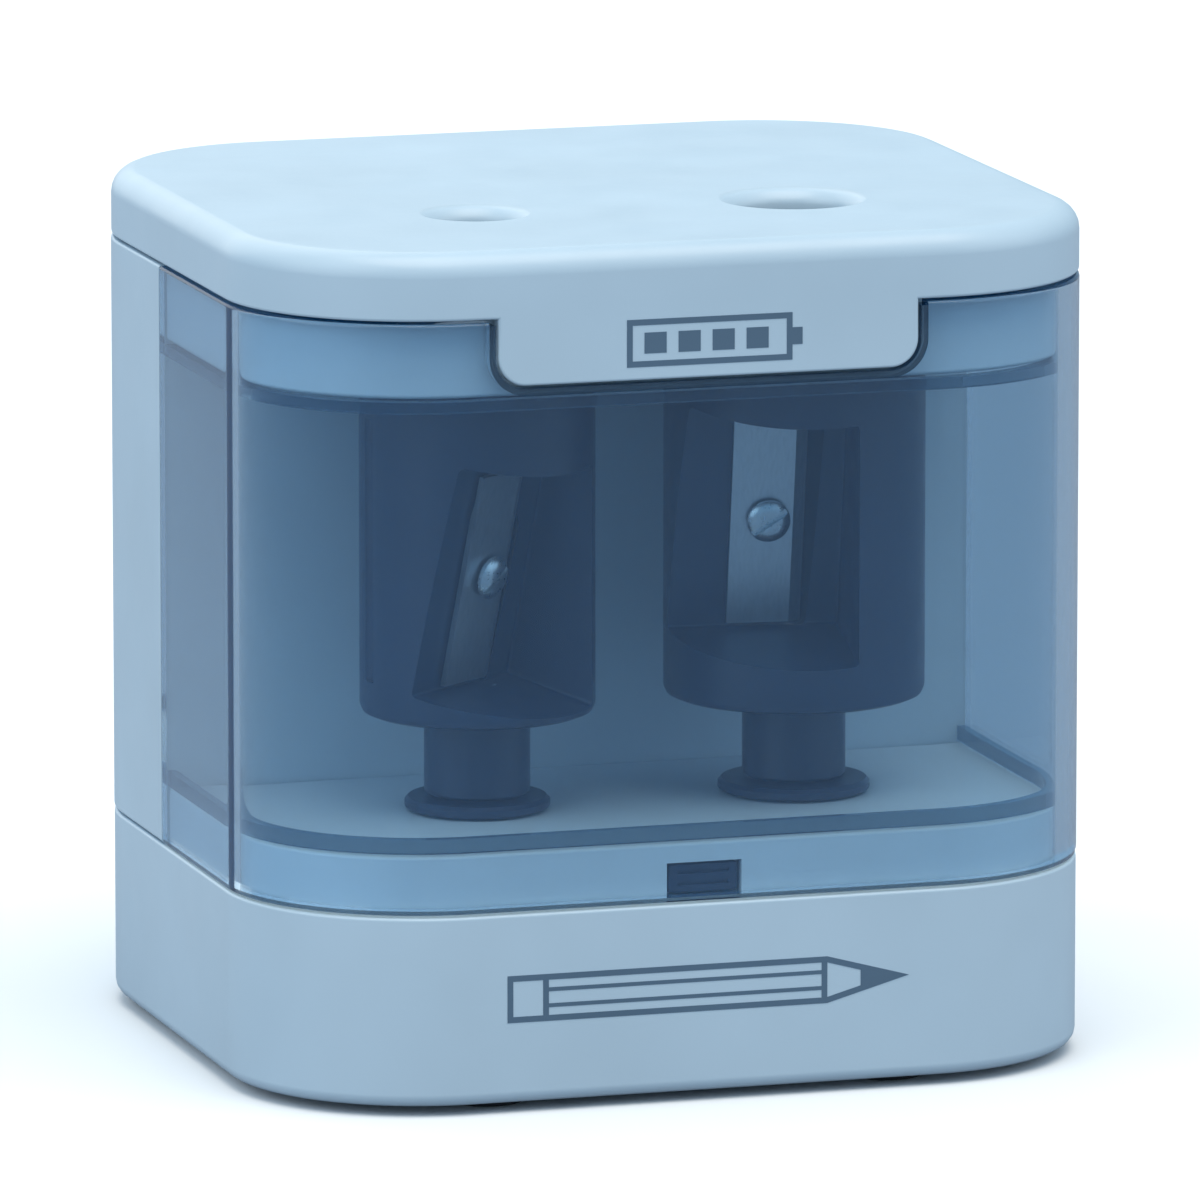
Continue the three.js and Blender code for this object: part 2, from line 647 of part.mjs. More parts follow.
const contact = (from, to, z) =>
  block(
    cellX(from) - CELL.radius + 2,
    cellX(to) + CELL.radius - 2,
    CELL_Y - CELL.radius + 2,
    CELL_Y + CELL.radius - 2,
    z,
    z + CONTACT,
  );
piece("contact_plus", contact(0, 0, LOWER_CONTACT - CONTACT), BRIGHT);
piece("contact_lower_link", contact(1, 2, LOWER_CONTACT - CONTACT), BRIGHT);
piece("contact_minus", contact(3, 3, LOWER_CONTACT - CONTACT), BRIGHT);
piece("contact_upper_link_1", contact(0, 1, UPPER_CONTACT), BRIGHT);
piece("contact_upper_link_2", contact(2, 3, UPPER_CONTACT), BRIGHT);

// ---- start switches -----------------------------------------------------------
function startSwitch() {
  const { width, depth, height, button } = SWITCH;
  const low = SWITCH_SHELF + GAP;
  const pressed = SLIDER_LOW + SLIDER.height / 2;
  return join(
    block(-width / 2, width / 2, SWITCH_Y, SWITCH_Y + depth, low, low + height),
    block(-1.5, 1.5, SWITCH_Y - button, SWITCH_Y + 1, pressed - 0.6, pressed + 0.6),
  );
}

// A slider whose sloping nose reaches into the pencil's path, and whose tail presses
// the switch when a pencil pushes the nose back.
function startSlider({ pencil }) {
  const nose = CUTTER_Y + pencil + GAP - SLIDER.reach;
  const tail = SWITCH_Y - SWITCH.button - GAP - SLIDER.travel;
  const half = SLIDER.width / 2;
  const low = SLIDER_LOW;
  const high = SLIDER_LOW + SLIDER.height;
  const slope = block(-half - 1, half + 1, -SLIDER.height, 0, -SLIDER.height, SLIDER.height);
  return cut(
    block(-half, half, nose, tail, low, high),
    slope.rotate([-45, 0, 0]).translate([0, nose, high - SLIDER.reach]),
  );
}

for (const cutter of CUTTERS) {
  const x = cutter.sign * CUTTER_X;
  piece(`${cutter.side}_start_switch`, startSwitch(), DARK, { x });
  piece(`${cutter.side}_start_slider`, startSlider(cutter), DARK, { x });
}

// ---- wires --------------------------------------------------------------------
const routed = (...points) =>
  new THREE.CatmullRomCurve3(points.map((point) => new THREE.Vector3(...point)));
const wireLow = BAY_FLOOR + WIRE_HOLE / 2;
const motorTop = MOTOR_BOTTOM + MOTOR.can + MOTOR.cap + 2 * GAP;
const switchBack = SWITCH_Y + SWITCH.depth + GAP;
const switchMiddle = SWITCH_SHELF + SWITCH.height / 2;
piece(
  "battery_wire_plus",
  wire(
    routed(
      [-endCellX, BAY_FRONT + 1.2, wireLow],
      [-endCellX, BAY_FRONT - PLATE - 2, wireLow],
      [-endCellX - 1, BAY_FRONT - PLATE - 5, wireLow + 14],
      [-CUTTER_X - 2, switchBack + 3, switchMiddle - 16],
      [-CUTTER_X, switchBack + 3, switchMiddle - 2],
      [-CUTTER_X, switchBack, switchMiddle],
    ),
    WIRE_RADIUS,
    22,
  ),
  RED,
);
piece(
  "battery_wire_minus",
  wire(
    routed(
      [endCellX, BAY_FRONT + 1.2, wireLow],
      [endCellX, BAY_FRONT - PLATE - 2, wireLow],
      [endCellX - 2, BAY_FRONT - PLATE - 5, wireLow + 14],
      [MOTOR.width / 2 + 1, MOTOR_Y, motorTop + 5],
      [MOTOR.width / 2 - 4, MOTOR_Y, motorTop + 4],
      [MOTOR.width / 2 - 5, MOTOR_Y, motorTop],
    ),
    WIRE_RADIUS,
    16,
  ),
  BLACK,
);
piece(
  "motor_wire",
  wire(
    routed(
      [CUTTER_X, switchBack, switchMiddle],
      [CUTTER_X - 1, switchBack + 3, switchMiddle - 3],
      [0, switchBack + 3, switchMiddle - 14],
      [-MOTOR.width / 2 + 4, MOTOR_Y, motorTop + 5],
      [-MOTOR.width / 2 + 5, MOTOR_Y, motorTop],
    ),
    WIRE_RADIUS,
    16,
  ),
  RED,
);

// ---- hood: shell, guide plate and cover ---------------------------------------
// The tongue's outline, standing in the front wall from its face inwards.
function tongue(grow, top, depth) {
  const half = TONGUE_WIDTH / 2 + grow;
  const low = COVER_BOTTOM - TONGUE_DROP - grow;
  const radius = TONGUE_ROUND + grow;
  const shape = new THREE.Shape();
  shape.moveTo(half, top);
  shape.lineTo(-half, top);
  shape.absarc(-half + radius, low + radius, radius, Math.PI, (3 * Math.PI) / 2);
  shape.absarc(half - radius, low + radius, radius, (3 * Math.PI) / 2, 2 * Math.PI);
  const geometry = new THREE.ExtrudeGeometry(shape, {
    depth,
    bevelEnabled: false,
    curveSegments: CORNER_STEPS,
  });
  return solid(geometry.rotateX(Math.PI / 2)).translate([0, depth, 0]);
}

function shavingsShell() {
  const wall = cut(slab(0, HOUSING_BOTTOM, RIM), slab(WALL, 0, HEIGHT));
  const bead = (low) =>
    cut(slab(WALL / 2, low, low + BEAD), slab(WALL + BEAD_DEPTH, 0, HEIGHT));
  const whole = join(wall, bead(DECK_TOP + GAP), bead(GUIDE_BOTTOM - GAP - BEAD));
  const notch = tongue(GAP, HEIGHT, INNER + 1).translate([0, FRONT - 1, 0]);
  return cut(ahead(whole, HOOD_BACK), notch);
}

const coverScrews = bossPlaces.filter(([, y]) => y < 0);

function guidePlate() {
  const tray = cut(
    ahead(slab(INNER, GUIDE_BOTTOM, RIM), HOOD_BACK),
    ahead(slab(INNER + PLATE, GUIDE_BOTTOM + PLATE, HEIGHT), HOOD_BACK - PLATE),
  );
  const tubes = CUTTERS.map(({ sign, pencil }) =>
    bar(pencil + GAP + PLATE - 0.5, GUIDE_BOTTOM, RIM, sign * CUTTER_X, CUTTER_Y),
  );
  const bores = CUTTERS.map(({ sign, pencil }) =>
    bar(pencil + GAP, 0, HEIGHT, sign * CUTTER_X, CUTTER_Y),
  );
  const channels = CUTTERS.map(({ sign, pencil }) => {
    const half = SLIDER.width / 2 + GAP;
    const start = CUTTER_Y + pencil + 3;
    const end = HOOD_BACK - PLATE - 1;
    const high = SLIDER_LOW + SLIDER.height;
    return cut(
      block(-half - PLATE, half + PLATE, start, end, GUIDE_BOTTOM + 1, high),
      block(-half, half, start - 1, end + 1, SLIDER_LOW - GAP, HEIGHT),
    ).translate([sign * CUTTER_X, 0, 0]);
  });
  return cut(
    join(
      tray,
      ...tubes,
      ...channels,
      ...coverScrews.map(([x, y]) => bar(BOSS_RADIUS, GUIDE_BOTTOM + 1, RIM, x, y)),
    ),
    ...bores,
    ...coverScrews.map(([x, y]) => bar(SCREW.shank + GAP, 0, HEIGHT, x, y)),
    ...coverScrews.map(([x, y]) =>
      bar(SCREW.head + GAP, 0, GUIDE_BOTTOM + SCREW.headHeight + GAP, x, y),
    ),
  );
}

function topCover() {
  const geometry = new THREE.ExtrudeGeometry(outline(COVER_ROUND), {
    depth: COVER_HEIGHT,
    bevelThickness: COVER_ROUND,
    bevelSize: COVER_ROUND,
    bevelSegments: 4,
    curveSegments: CORNER_STEPS,
  });
  const dome = solid(geometry.translate(0, 0, COVER_BOTTOM - COVER_ROUND));
  const cap = dome.intersect(block(-WIDTH, WIDTH, -DEPTH, DEPTH, COVER_BOTTOM, HEIGHT));
  const hollow = slab(WALL, COVER_BOTTOM - 1, COVER_CEILING);
  const flap = tongue(0, COVER_BOTTOM + 1, WALL).translate([0, FRONT, 0]);
  const bosses = coverScrews.map(([x, y]) =>
    bar(BOSS_RADIUS, COVER_BOTTOM, COVER_CEILING + 0.5, x, y),
  );
  const bossHoles = coverScrews.map(([x, y]) =>
    bar(SCREW.shank + GAP, 0, COVER_CEILING, x, y),
  );
  const holes = CUTTERS.flatMap(({ sign, pencil }) => [
    bar(pencil + GAP, 0, 2 * HEIGHT, sign * CUTTER_X, CUTTER_Y),
    bar(
      pencil,
      HEIGHT - COUNTERSINK.depth,
      HEIGHT + GAP,
      sign * CUTTER_X,
      CUTTER_Y,
      pencil + GAP + COUNTERSINK.spread,
    ),
  ]);
  return cut(join(cut(cap, hollow), flap, ...bosses), ...bossHoles, ...holes);
}

piece("shavings_shell", shavingsShell(), CLEAR);
piece("guide_plate", guidePlate(), WHITE);
piece("top_cover", topCover(), WHITE);
coverScrews.forEach(([x, y], i) =>
  piece(`cover_screw_${i + 1}`, tappingScrew(), BRIGHT, { x, y, z: GUIDE_BOTTOM }),
);

sharpener.updateMatrixWorld(true);
export default sharpener;
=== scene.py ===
"""A two-hole battery pencil sharpener: an ice-blue moulded body, a smoke-blue clear shell
in front of two dark rotary cutters, and a white rear body with the motor and the cells.

Everything is in metres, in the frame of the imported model: +Z up, the front faces -Y."""

import math

import bmesh
import bpy
from bpy.props import FloatProperty, FloatVectorProperty, IntProperty, PointerProperty
from bpy.types import Operator, Panel, PropertyGroup
from mathutils import Matrix, Vector


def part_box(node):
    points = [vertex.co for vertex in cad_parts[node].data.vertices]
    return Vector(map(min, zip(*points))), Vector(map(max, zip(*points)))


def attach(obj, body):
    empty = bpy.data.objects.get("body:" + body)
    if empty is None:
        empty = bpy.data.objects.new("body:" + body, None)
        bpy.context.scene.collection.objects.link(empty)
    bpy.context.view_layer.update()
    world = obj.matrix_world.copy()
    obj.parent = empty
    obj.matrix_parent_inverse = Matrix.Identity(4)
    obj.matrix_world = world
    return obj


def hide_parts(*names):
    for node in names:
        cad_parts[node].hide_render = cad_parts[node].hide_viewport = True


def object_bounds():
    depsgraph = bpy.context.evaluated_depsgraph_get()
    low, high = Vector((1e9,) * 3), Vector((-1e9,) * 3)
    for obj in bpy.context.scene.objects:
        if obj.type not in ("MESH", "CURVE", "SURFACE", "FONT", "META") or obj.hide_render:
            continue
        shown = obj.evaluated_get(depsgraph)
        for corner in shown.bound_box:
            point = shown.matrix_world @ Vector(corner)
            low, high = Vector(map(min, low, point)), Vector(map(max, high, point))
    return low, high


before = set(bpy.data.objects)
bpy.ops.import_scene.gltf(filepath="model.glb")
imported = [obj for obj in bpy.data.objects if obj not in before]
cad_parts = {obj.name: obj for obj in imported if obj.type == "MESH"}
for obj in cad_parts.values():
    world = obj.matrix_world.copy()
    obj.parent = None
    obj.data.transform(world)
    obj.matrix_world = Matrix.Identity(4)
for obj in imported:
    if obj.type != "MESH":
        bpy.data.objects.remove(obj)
CAD_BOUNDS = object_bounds()

bl_info = {
    "name": "Battery pencil sharpener",
    "version": (1, 0, 0),
    "blender": (4, 5, 0),
    "location": "3D View > Sidebar > Sharpener",
    "description": "Builds a two-hole battery pencil sharpener round its fixed frame",
    "category": "Object",
}

MM = 0.001

# ---- places read from the frame ------------------------------------------------
LOW, HIGH = CAD_BOUNDS
HALF_X = HIGH.x
HALF_Y = HIGH.y
FRONT = LOW.y
BACK = HIGH.y
TOP = HIGH.z
SHELL_LOW, SHELL_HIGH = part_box("shavings_shell")
BASE_LOW, BASE_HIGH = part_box("base_housing")
HOUSING_LOW, HOUSING_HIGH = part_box("rear_housing")
GUIDE_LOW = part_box("guide_plate")[0]
TONGUE_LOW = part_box("top_cover")[0].z
LATCH_LOW, LATCH_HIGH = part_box("shell_latch")
DOOR_LOW, DOOR_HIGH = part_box("battery_door")
PLATE_LOW, PLATE_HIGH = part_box("base_plate")
GAP = 0.3 * MM  # between pieces that touch
SCREW_BOSS = 3.3 * MM  # radii round the tapping screws
SCREW_BORE = 1.6 * MM
SCREW_SINK = 2.9 * MM
SHAFT_BORE = 2.1 * MM
BUSH_BORE = 6.3 * MM
PINION_ROOM = 4.4 * MM
GEAR_PIN_BORE = 1.8 * MM
TINY = 1e-6  # how near two heights count as one
COVER_LOW = SHELL_HIGH.z + GAP
BASE_TOP = SHELL_LOW.z - GAP
DECK_TOP = BASE_HIGH.z
HOOD_BACK = SHELL_HIGH.y
BIN_BACK = HOUSING_LOW.y


def centre_of(node):
    """The middle of a CAD node's box."""
    low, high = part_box(node)
    return (low + high) / 2


def linear(hex_colour):
    """An sRGB hex colour as linear RGBA."""
    parts = [int(hex_colour[i : i + 2], 16) / 255 for i in (1, 3, 5)]
    return (*[c / 12.92 if c <= 0.04045 else ((c + 0.055) / 1.055) ** 2.4 for c in parts], 1.0)


class SharpenerSizes(PropertyGroup):
    """Sizes of the mouldings that the frame's boxes don't give."""

    corner: FloatProperty(
        name="Corner",
        description="Plan radius of the upright corners",
        default=21 * MM,
        unit="LENGTH",
    )
    wall: FloatProperty(
        name="Wall",
        description="Thickness of the outer walls",
        default=2.2 * MM,
        unit="LENGTH",
    )
    plate: FloatProperty(
        name="Plate",
        description="Thickness of decks, floors and inner walls",
        default=2 * MM,
        unit="LENGTH",
    )
    cover_round: FloatProperty(
        name="Cover rounding",
        description="Radius of the cover's top edge",
        default=2.6 * MM,
        unit="LENGTH",
    )
    tongue_width: FloatProperty(
        name="Tongue width",
        description="Width of the tongue at the front of the cover",
        default=45.7 * MM,
        unit="LENGTH",
    )
    tongue_round: FloatProperty(
        name="Tongue rounding",
        description="Radius of the tongue's lower corners",
        default=3 * MM,
        unit="LENGTH",
    )
    ink_thickness: FloatProperty(
        name="Ink thickness",
        description="How far the printed marks stand out of the plastic",
        default=0.04 * MM,
        unit="LENGTH",
    )
    corner_segments: IntProperty(
        name="Corner facets",
        description="Facets on each upright corner",
        default=24,
    )


class SharpenerColours(PropertyGroup):
    """Colours that a user may change, in linear light."""

    body: FloatVectorProperty(
        name="Body",
        description="Pale ice-blue moulded ABS",
        subtype="COLOR",
        size=4,
        default=linear("#BCD0DE"),
    )
    cutter: FloatVectorProperty(
        name="Cutters",
        description="Dark navy moulded ABS",
        subtype="COLOR",
        size=4,
        default=linear("#142944"),
    )
    shell: FloatVectorProperty(
        name="Shell",
        description="Smoke-blue tint of the clear polystyrene",
        subtype="COLOR",
        size=4,
        default=linear("#D6EAF5"),
    )
    ink: FloatVectorProperty(
        name="Ink",
        description="Grey-blue pad-printing ink",
        subtype="COLOR",
        size=4,
        default=linear("#536B80"),
    )


def sizes():
    """The scene's size settings."""
    return bpy.context.scene.sharpener_sizes


def colours():
    """The scene's colour settings."""
    return bpy.context.scene.sharpener_colours


# ---- mesh helpers ----------------------------------------------------------------
def slab(inset, low, high, rim_low=0.0, rim_high=0.0, segments=3):
    """A block on the sharpener's rounded plan, moved in all round, with rounded rims."""
    corner = sizes().corner - inset
    bm = bmesh.new()
    bmesh.ops.create_cube(bm, size=2)
    half = (HALF_X - inset, HALF_Y - inset, (high - low) / 2)
    bmesh.ops.scale(bm, vec=half, verts=bm.verts)
    bmesh.ops.translate(bm, vec=(0, 0, (low + high) / 2), verts=bm.verts)
    round_edges(bm, upright_edges(bm), corner, sizes().corner_segments)
    round_rim(bm, low, rim_low, segments)
    round_rim(bm, high, rim_high, segments)
    return bm


def upright_edges(bm):
    """The edges that run up from one level to another."""
    return [e for e in bm.edges if abs(e.verts[0].co.z - e.verts[1].co.z) > TINY]


def round_edges(bm, edges, radius, segments):
    """Rounds edges with a circular profile."""
    bmesh.ops.bevel(
        bm,
        geom=edges,
        offset=radius,
        segments=segments,
        profile=0.5,
        affect="EDGES",
        material=-1,
    )


def round_rim(bm, z, radius, segments=3):
    """Rounds the edges that lie at one height."""
    if radius <= 0:
        return
    rim = [e for e in bm.edges if all(abs(v.co.z - z) < TINY for v in e.verts)]
    round_edges(bm, rim, radius, segments)


def block(low, high, radius=0.0, segments=2):
    """A box between two corners, with every edge rounded."""
    low, high = Vector(low), Vector(high)
    bm = bmesh.new()
    bmesh.ops.create_cube(bm, size=1)
    bmesh.ops.scale(bm, vec=high - low, verts=bm.verts)
    bmesh.ops.translate(bm, vec=(low + high) / 2, verts=bm.verts)
    if radius > 0:
        round_edges(bm, bm.edges[:], radius, segments)
    return bm


def bar(radius, low, high, x=0.0, y=0.0, top=None, segments=64):
    """An upright round bar, or a cone if its top has its own radius."""
    bm = bmesh.new()
    bmesh.ops.create_cone(
        bm,
        cap_ends=True,
        segments=segments,
        radius1=radius,
        radius2=radius if top is None else top,
        depth=high - low,
    )
    bmesh.ops.translate(bm, vec=(x, y, (low + high) / 2), verts=bm.verts)
    return bm


def turned(profile, x=0.0, y=0.0, segments=64):
    """A profile of (radius, height) points, spun round an upright axis. It starts and
    ends on the axis, or else it is closed into a ring."""
    bm = bmesh.new()
    verts = [bm.verts.new((radius, 0, height)) for radius, height in profile]
    edges = [bm.edges.new(pair) for pair in zip(verts, verts[1:])]
    if profile[0][0] > 0:
        edges.append(bm.edges.new((verts[-1], verts[0])))
    bmesh.ops.spin(
        bm,
        geom=verts + edges,
        cent=(0, 0, 0),
        axis=(0, 0, 1),
        angle=2 * math.pi,
        steps=segments,
        use_merge=True,
    )
    bmesh.ops.remove_doubles(bm, verts=bm.verts, dist=1e-7)
    bmesh.ops.recalc_face_normals(bm, faces=bm.faces)
    bmesh.ops.translate(bm, vec=(x, y, 0), verts=bm.verts)
    return bm


def moved(bm, matrix):
    """The same mesh, moved."""
    bmesh.ops.transform(bm, matrix=matrix, verts=bm.verts)
    return bm


def object_of(name, bm):
    """A new object that holds a bmesh."""
    mesh = bpy.data.meshes.new(name)
    bm.to_mesh(mesh)
    bm.free()
    made = bpy.data.objects.new(name, mesh)
    bpy.context.scene.collection.objects.link(made)
    return made


def shaped(name, start, *steps):
    """An object made from a first mesh by joining and cutting others, in order."""
    made = object_of(name, start)
    for operation, tool in steps:
        cutter = object_of("tool", tool)
        modifier = made.modifiers.new("boolean", "BOOLEAN")
        modifier.operation = operation
        modifier.object = cutter
        modifier.solver = "EXACT"
        graph = bpy.context.evaluated_depsgraph_get()
        result = bpy.data.meshes.new_from_object(made.evaluated_get(graph))
        made.modifiers.clear()
        spare = made.data
        made.data = result
        bpy.data.meshes.remove(spare)
        bpy.data.objects.remove(cutter)
    return made


def cut(bm):
    """A step for shaped() that takes a mesh away."""
    return ("DIFFERENCE", bm)


def add(bm):
    """A step for shaped() that joins a mesh on."""
    return ("UNION", bm)


def keep(bm):
    """A step for shaped() that keeps only what lies inside a mesh."""
    return ("INTERSECT", bm)


def behind(y):
    """A tool that takes away what lies behind an upright plane."""
    return block((-1, y, -1), (1, 1, 1))


def finish(made, body, material, slot, *nodes, sharp=32):
    """Shades a piece, gives it its material and body, and hides the nodes it stands for."""
    mesh = made.data
    mesh.name = made.name
    mesh.materials.clear()
    mesh.materials.append(material)
    for face in mesh.polygons:
        face.use_smooth = True
        face.material_index = 0
    mesh.set_sharp_from_angle(angle=math.radians(sharp))
    weighted = made.modifiers.new("weighted normals", "WEIGHTED_NORMAL")
    weighted.keep_sharp = True
    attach(made, body)
    if nodes:
        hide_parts(*nodes)
    return made


# ---- materials ---------------------------------------------------------------------
def add_node(tree, kind, inputs=None, links=None, stops=(), **settings):
    """Adds a node with its settings, its input values, its links and, on a colour ramp,
    its (position, colour) stops."""
    made = tree.nodes.new(kind)
    for key, value in settings.items():
        setattr(made, key, value)
    for key, value in (inputs or {}).items():
        made.inputs[key].default_value = value
    for key, source in (links or {}).items():
        tree.links.new(source, made.inputs[key])
    for index, (position, colour) in enumerate(stops):
        element = made.color_ramp.elements[index]
        element.position = position
        element.color = colour
    return made


def new_material(name):
    """An empty node material, its tree and its Object coordinates."""
    material = bpy.data.materials.new(name)
    material.use_nodes = True
    tree = material.node_tree
    tree.nodes.clear()
    place = add_node(tree, "ShaderNodeTexCoord").outputs["Object"]
    return material, tree, place


def shade(colour, factor):
    """A colour made lighter or darker."""
    return (*[min(1.0, c * factor) for c in colour[:3]], 1.0)


def worked(material, tree, tint, glossy, relief, settings):
    """Ends a solid finish: a tint, a gloss that follows (pattern, least, most) roughness,
    and a relief of (height, strength, depth)."""
    pattern, least, most = glossy
    gloss = add_node(
        tree,
        "ShaderNodeMapRange",
        {"From Min": 0.3, "From Max": 0.7, "To Min": least, "To Max": most},
        {"Value": pattern},
    ).outputs["Result"]
    height, strength, depth = relief
    bump = add_node(
        tree,
        "ShaderNodeBump",
        {"Strength": strength, "Distance": depth},
        {"Height": height},
    ).outputs["Normal"]
    surface = add_node(
        tree,
        "ShaderNodeBsdfPrincipled",
        settings,
        {"Base Color": tint, "Roughness": gloss, "Normal": bump},
    )
    add_node(tree, "ShaderNodeOutputMaterial", links={"Surface": surface.outputs["BSDF"]})
    return material


def moulded(name, colour, roughness, grain, depth, coat=0.0, flow=0.03):
    """Injection-moulded plastic: an even colour with slow flow shading, a spark-eroded
    grain from the mould, and gloss that varies where the surface has been handled. The
    flow waves are about 18 mm long and the handled patches about 7 mm."""
    material, tree, place = new_material(name)
    flow_noise = add_node(
        tree,
        "ShaderNodeTexNoise",
        {"Scale": 1 / (18 * MM), "Detail": 2.0, "Roughness": 0.5},
        {"Vector": place},
    ).outputs["Fac"]
    tint = add_node(
        tree,
        "ShaderNodeValToRGB",
        links={"Fac": flow_noise},
        stops=[(0.3, shade(colour, 1 - flow)), (0.7, shade(colour, 1 + flow))],
    ).outputs["Color"]
    handled = add_node(
        tree,
        "ShaderNodeTexNoise",
        {"Scale": 1 / (7 * MM), "Detail": 4.0, "Roughness": 0.6},
        {"Vector": place},
    ).outputs["Fac"]
    texture = add_node(
        tree,
        "ShaderNodeTexNoise",
        {"Scale": 1 / grain, "Detail": 3.0, "Roughness": 0.7},
        {"Vector": place},
    ).outputs["Fac"]
    glossy = (handled, roughness - 0.05, roughness + 0.06)
    settings = {"IOR": 1.54, "Coat Weight": coat, "Coat Roughness": 0.12}
    return worked(material, tree, tint, glossy, (texture, 0.35, depth), settings)


def clear_polystyrene(name, colour):
    """Clear polystyrene with a smoke-blue dye and a trace of haze: polished and see-through.
    A darker colour given to it paints shade. It ripples over about 14 mm, as thin mouldings
    do. Lamps reach what stands behind it."""
    material, tree, place = new_material(name)
    ripple = add_node(
        tree,
        "ShaderNodeTexNoise",
        {"Scale": 1 / (14 * MM), "Detail": 1.0},
        {"Vector": place},
    ).outputs["Fac"]
    bump = add_node(
        tree,
        "ShaderNodeBump",
        {"Strength": 0.12, "Distance": 0.05 * MM},
        {"Height": ripple},
    ).outputs["Normal"]
    surface = add_node(
        tree,
        "ShaderNodeBsdfPrincipled",
        {
            "Base Color": colour,
            "Roughness": 0.03,
            "IOR": 1.49,
            "Specular IOR Level": 0.15,
            "Transmission Weight": 1.0,
        },
        {"Normal": bump},
    ).outputs["BSDF"]
    through = add_node(
        tree,
        "ShaderNodeBsdfTransparent",
        {"Color": (*[c**0.15 for c in colour[:3]], 1.0)},
    ).outputs["BSDF"]
    path = add_node(tree, "ShaderNodeLightPath").outputs["Is Shadow Ray"]
    haze = add_node(tree, "ShaderNodeBsdfDiffuse", {"Color": linear("#2E93E0")}).outputs["BSDF"]
    cloudy = add_node(tree, "ShaderNodeMixShader", {0: 0.045}, {1: surface, 2: haze})
    mixed = add_node(
        tree,
        "ShaderNodeMixShader",
        links={0: path, 1: cloudy.outputs["Shader"], 2: through},
    )
    add_node(tree, "ShaderNodeOutputMaterial", links={"Surface": mixed.outputs["Shader"]})
    return material


def metal(name, hex_colour, roughness, stretch, line, depth, spread=0.08):
    """Worked metal: fine marks of one direction, from grinding, turning or drawing."""
    material, tree, place = new_material(name)
    scaled = add_node(
        tree,
        "ShaderNodeMapping",
        {"Scale": stretch},
        {"Vector": place},
    ).outputs["Vector"]
    marks = add_node(
        tree,
        "ShaderNodeTexNoise",
        {"Scale": 1 / line, "Detail": 4.0, "Roughness": 0.7},
        {"Vector": scaled},
    ).outputs["Fac"]
    colour = linear(hex_colour)
    tint = add_node(
        tree,
        "ShaderNodeValToRGB",
        links={"Fac": marks},
        stops=[(0.35, shade(colour, 0.86)), (0.65, colour)],
    ).outputs["Color"]
    glossy = (marks, roughness - spread / 2, roughness + spread)
    return worked(material, tree, tint, glossy, (marks, 0.3, depth), {"Metallic": 1.0})


def make_materials():
    """Every finish of the sharpener, by a maker's name."""
    palette = colours()
    even = (1.0, 1.0, 1.0)
    along_z = (1.0, 1.0, 0.04)
    rings = (0.04, 0.04, 1.0)
    return {
        # Semi-gloss ABS with a fine spark grain, which is drawn at 0.5 mm to show.
        "ice ABS": moulded("moulded ABS ice blue", tuple(palette.body), 0.36, 0.5 * MM, 0.02 * MM),
        # The same plastic dyed navy; its cut-outs and ribs keep a satin sheen.
        "navy ABS": moulded(
            "moulded ABS navy", tuple(palette.cutter), 0.38, 0.5 * MM, 0.008 * MM, flow=0.12
        ),
        # Polished and see-through, with a faint blue veil.
        "clear polystyrene": clear_polystyrene("clear polystyrene smoke blue", tuple(palette.shell)),
        # A darker copy of the same dye, put on the ribs and rims: painted shade for the dark lines
        # along their gaps and edges.
        "polystyrene with painted shade": clear_polystyrene(
            "clear polystyrene darkened as painted shade", shade(tuple(palette.shell), 0.42)
        ),
        # Acetal gears: waxy off-white, barely glossy.
        "acetal": moulded("moulded acetal natural", linear("#E6E4D8"), 0.42, 0.8 * MM, 0.02 * MM),
        # Ground along its length, so it glints in streaks.
        "blade steel": metal("ground blade steel", "#C6CCD2", 0.34, along_z, 0.25 * MM, 0.002 * MM),
        # Lathe rings catch the light as fine bands.
        "turned steel": metal("turned steel", "#B9C0C6", 0.3, rings, 0.25 * MM, 0.01 * MM),
        # Zinc plate scatters softly and is a little bluish.
        "zinc plate": metal("zinc-plated steel", "#CDD5DB", 0.28, even, 0.6 * MM, 0.01 * MM),
        # Drawn lengthways, so its sheen runs up the can.
        "drawn steel": metal("drawn steel can", "#AEB6BC", 0.34, along_z, 0.3 * MM, 0.01 * MM),
        # Bright and slightly warm.
        "nickel": metal("nickel-plated strip", "#CFCBC0", 0.22, even, 0.8 * MM, 0.005 * MM),
        # Yellow, with fine turning marks.
        "brass": metal("machined brass", "#C9A259", 0.3, rings, 0.2 * MM, 0.01 * MM),
        # Matt, slightly dusty.
        "rubber": moulded("moulded rubber", linear("#2E3236"), 0.78, 0.4 * MM, 0.04 * MM),
        # Shrunk film: glossy and a little uneven, with a paler cut edge at the plus end.
        "sleeve": moulded("shrink sleeve", linear("#3B6C8A"), 0.26, 2 * MM, 0.01 * MM, coat=0.3),
        "sleeve band": moulded("shrink sleeve band", linear("#C7CDD1"), 0.28, 2 * MM, 0.01 * MM),
        # Soft plastic with a dull sheen.
        "red PVC": moulded("PVC insulation red", linear("#A8322C"), 0.45, 0.5 * MM, 0.01 * MM),
        "black PVC": moulded("PVC insulation black", linear("#1D1F22"), 0.45, 0.5 * MM, 0.01 * MM),
        # Pad-printed ink lies thin and satin on the plastic.
        "ink": moulded("pad-printing ink", tuple(palette.ink), 0.5, 0.2 * MM, 0.01 * MM, flow=0.06),
    }


MATERIALS = {}


# ---- base --------------------------------------------------------------------------
def shaft_centres():
    """The upright axes of the two cutters."""
    return {side: centre_of(f"{side}_shaft") for side in ("left", "right")}


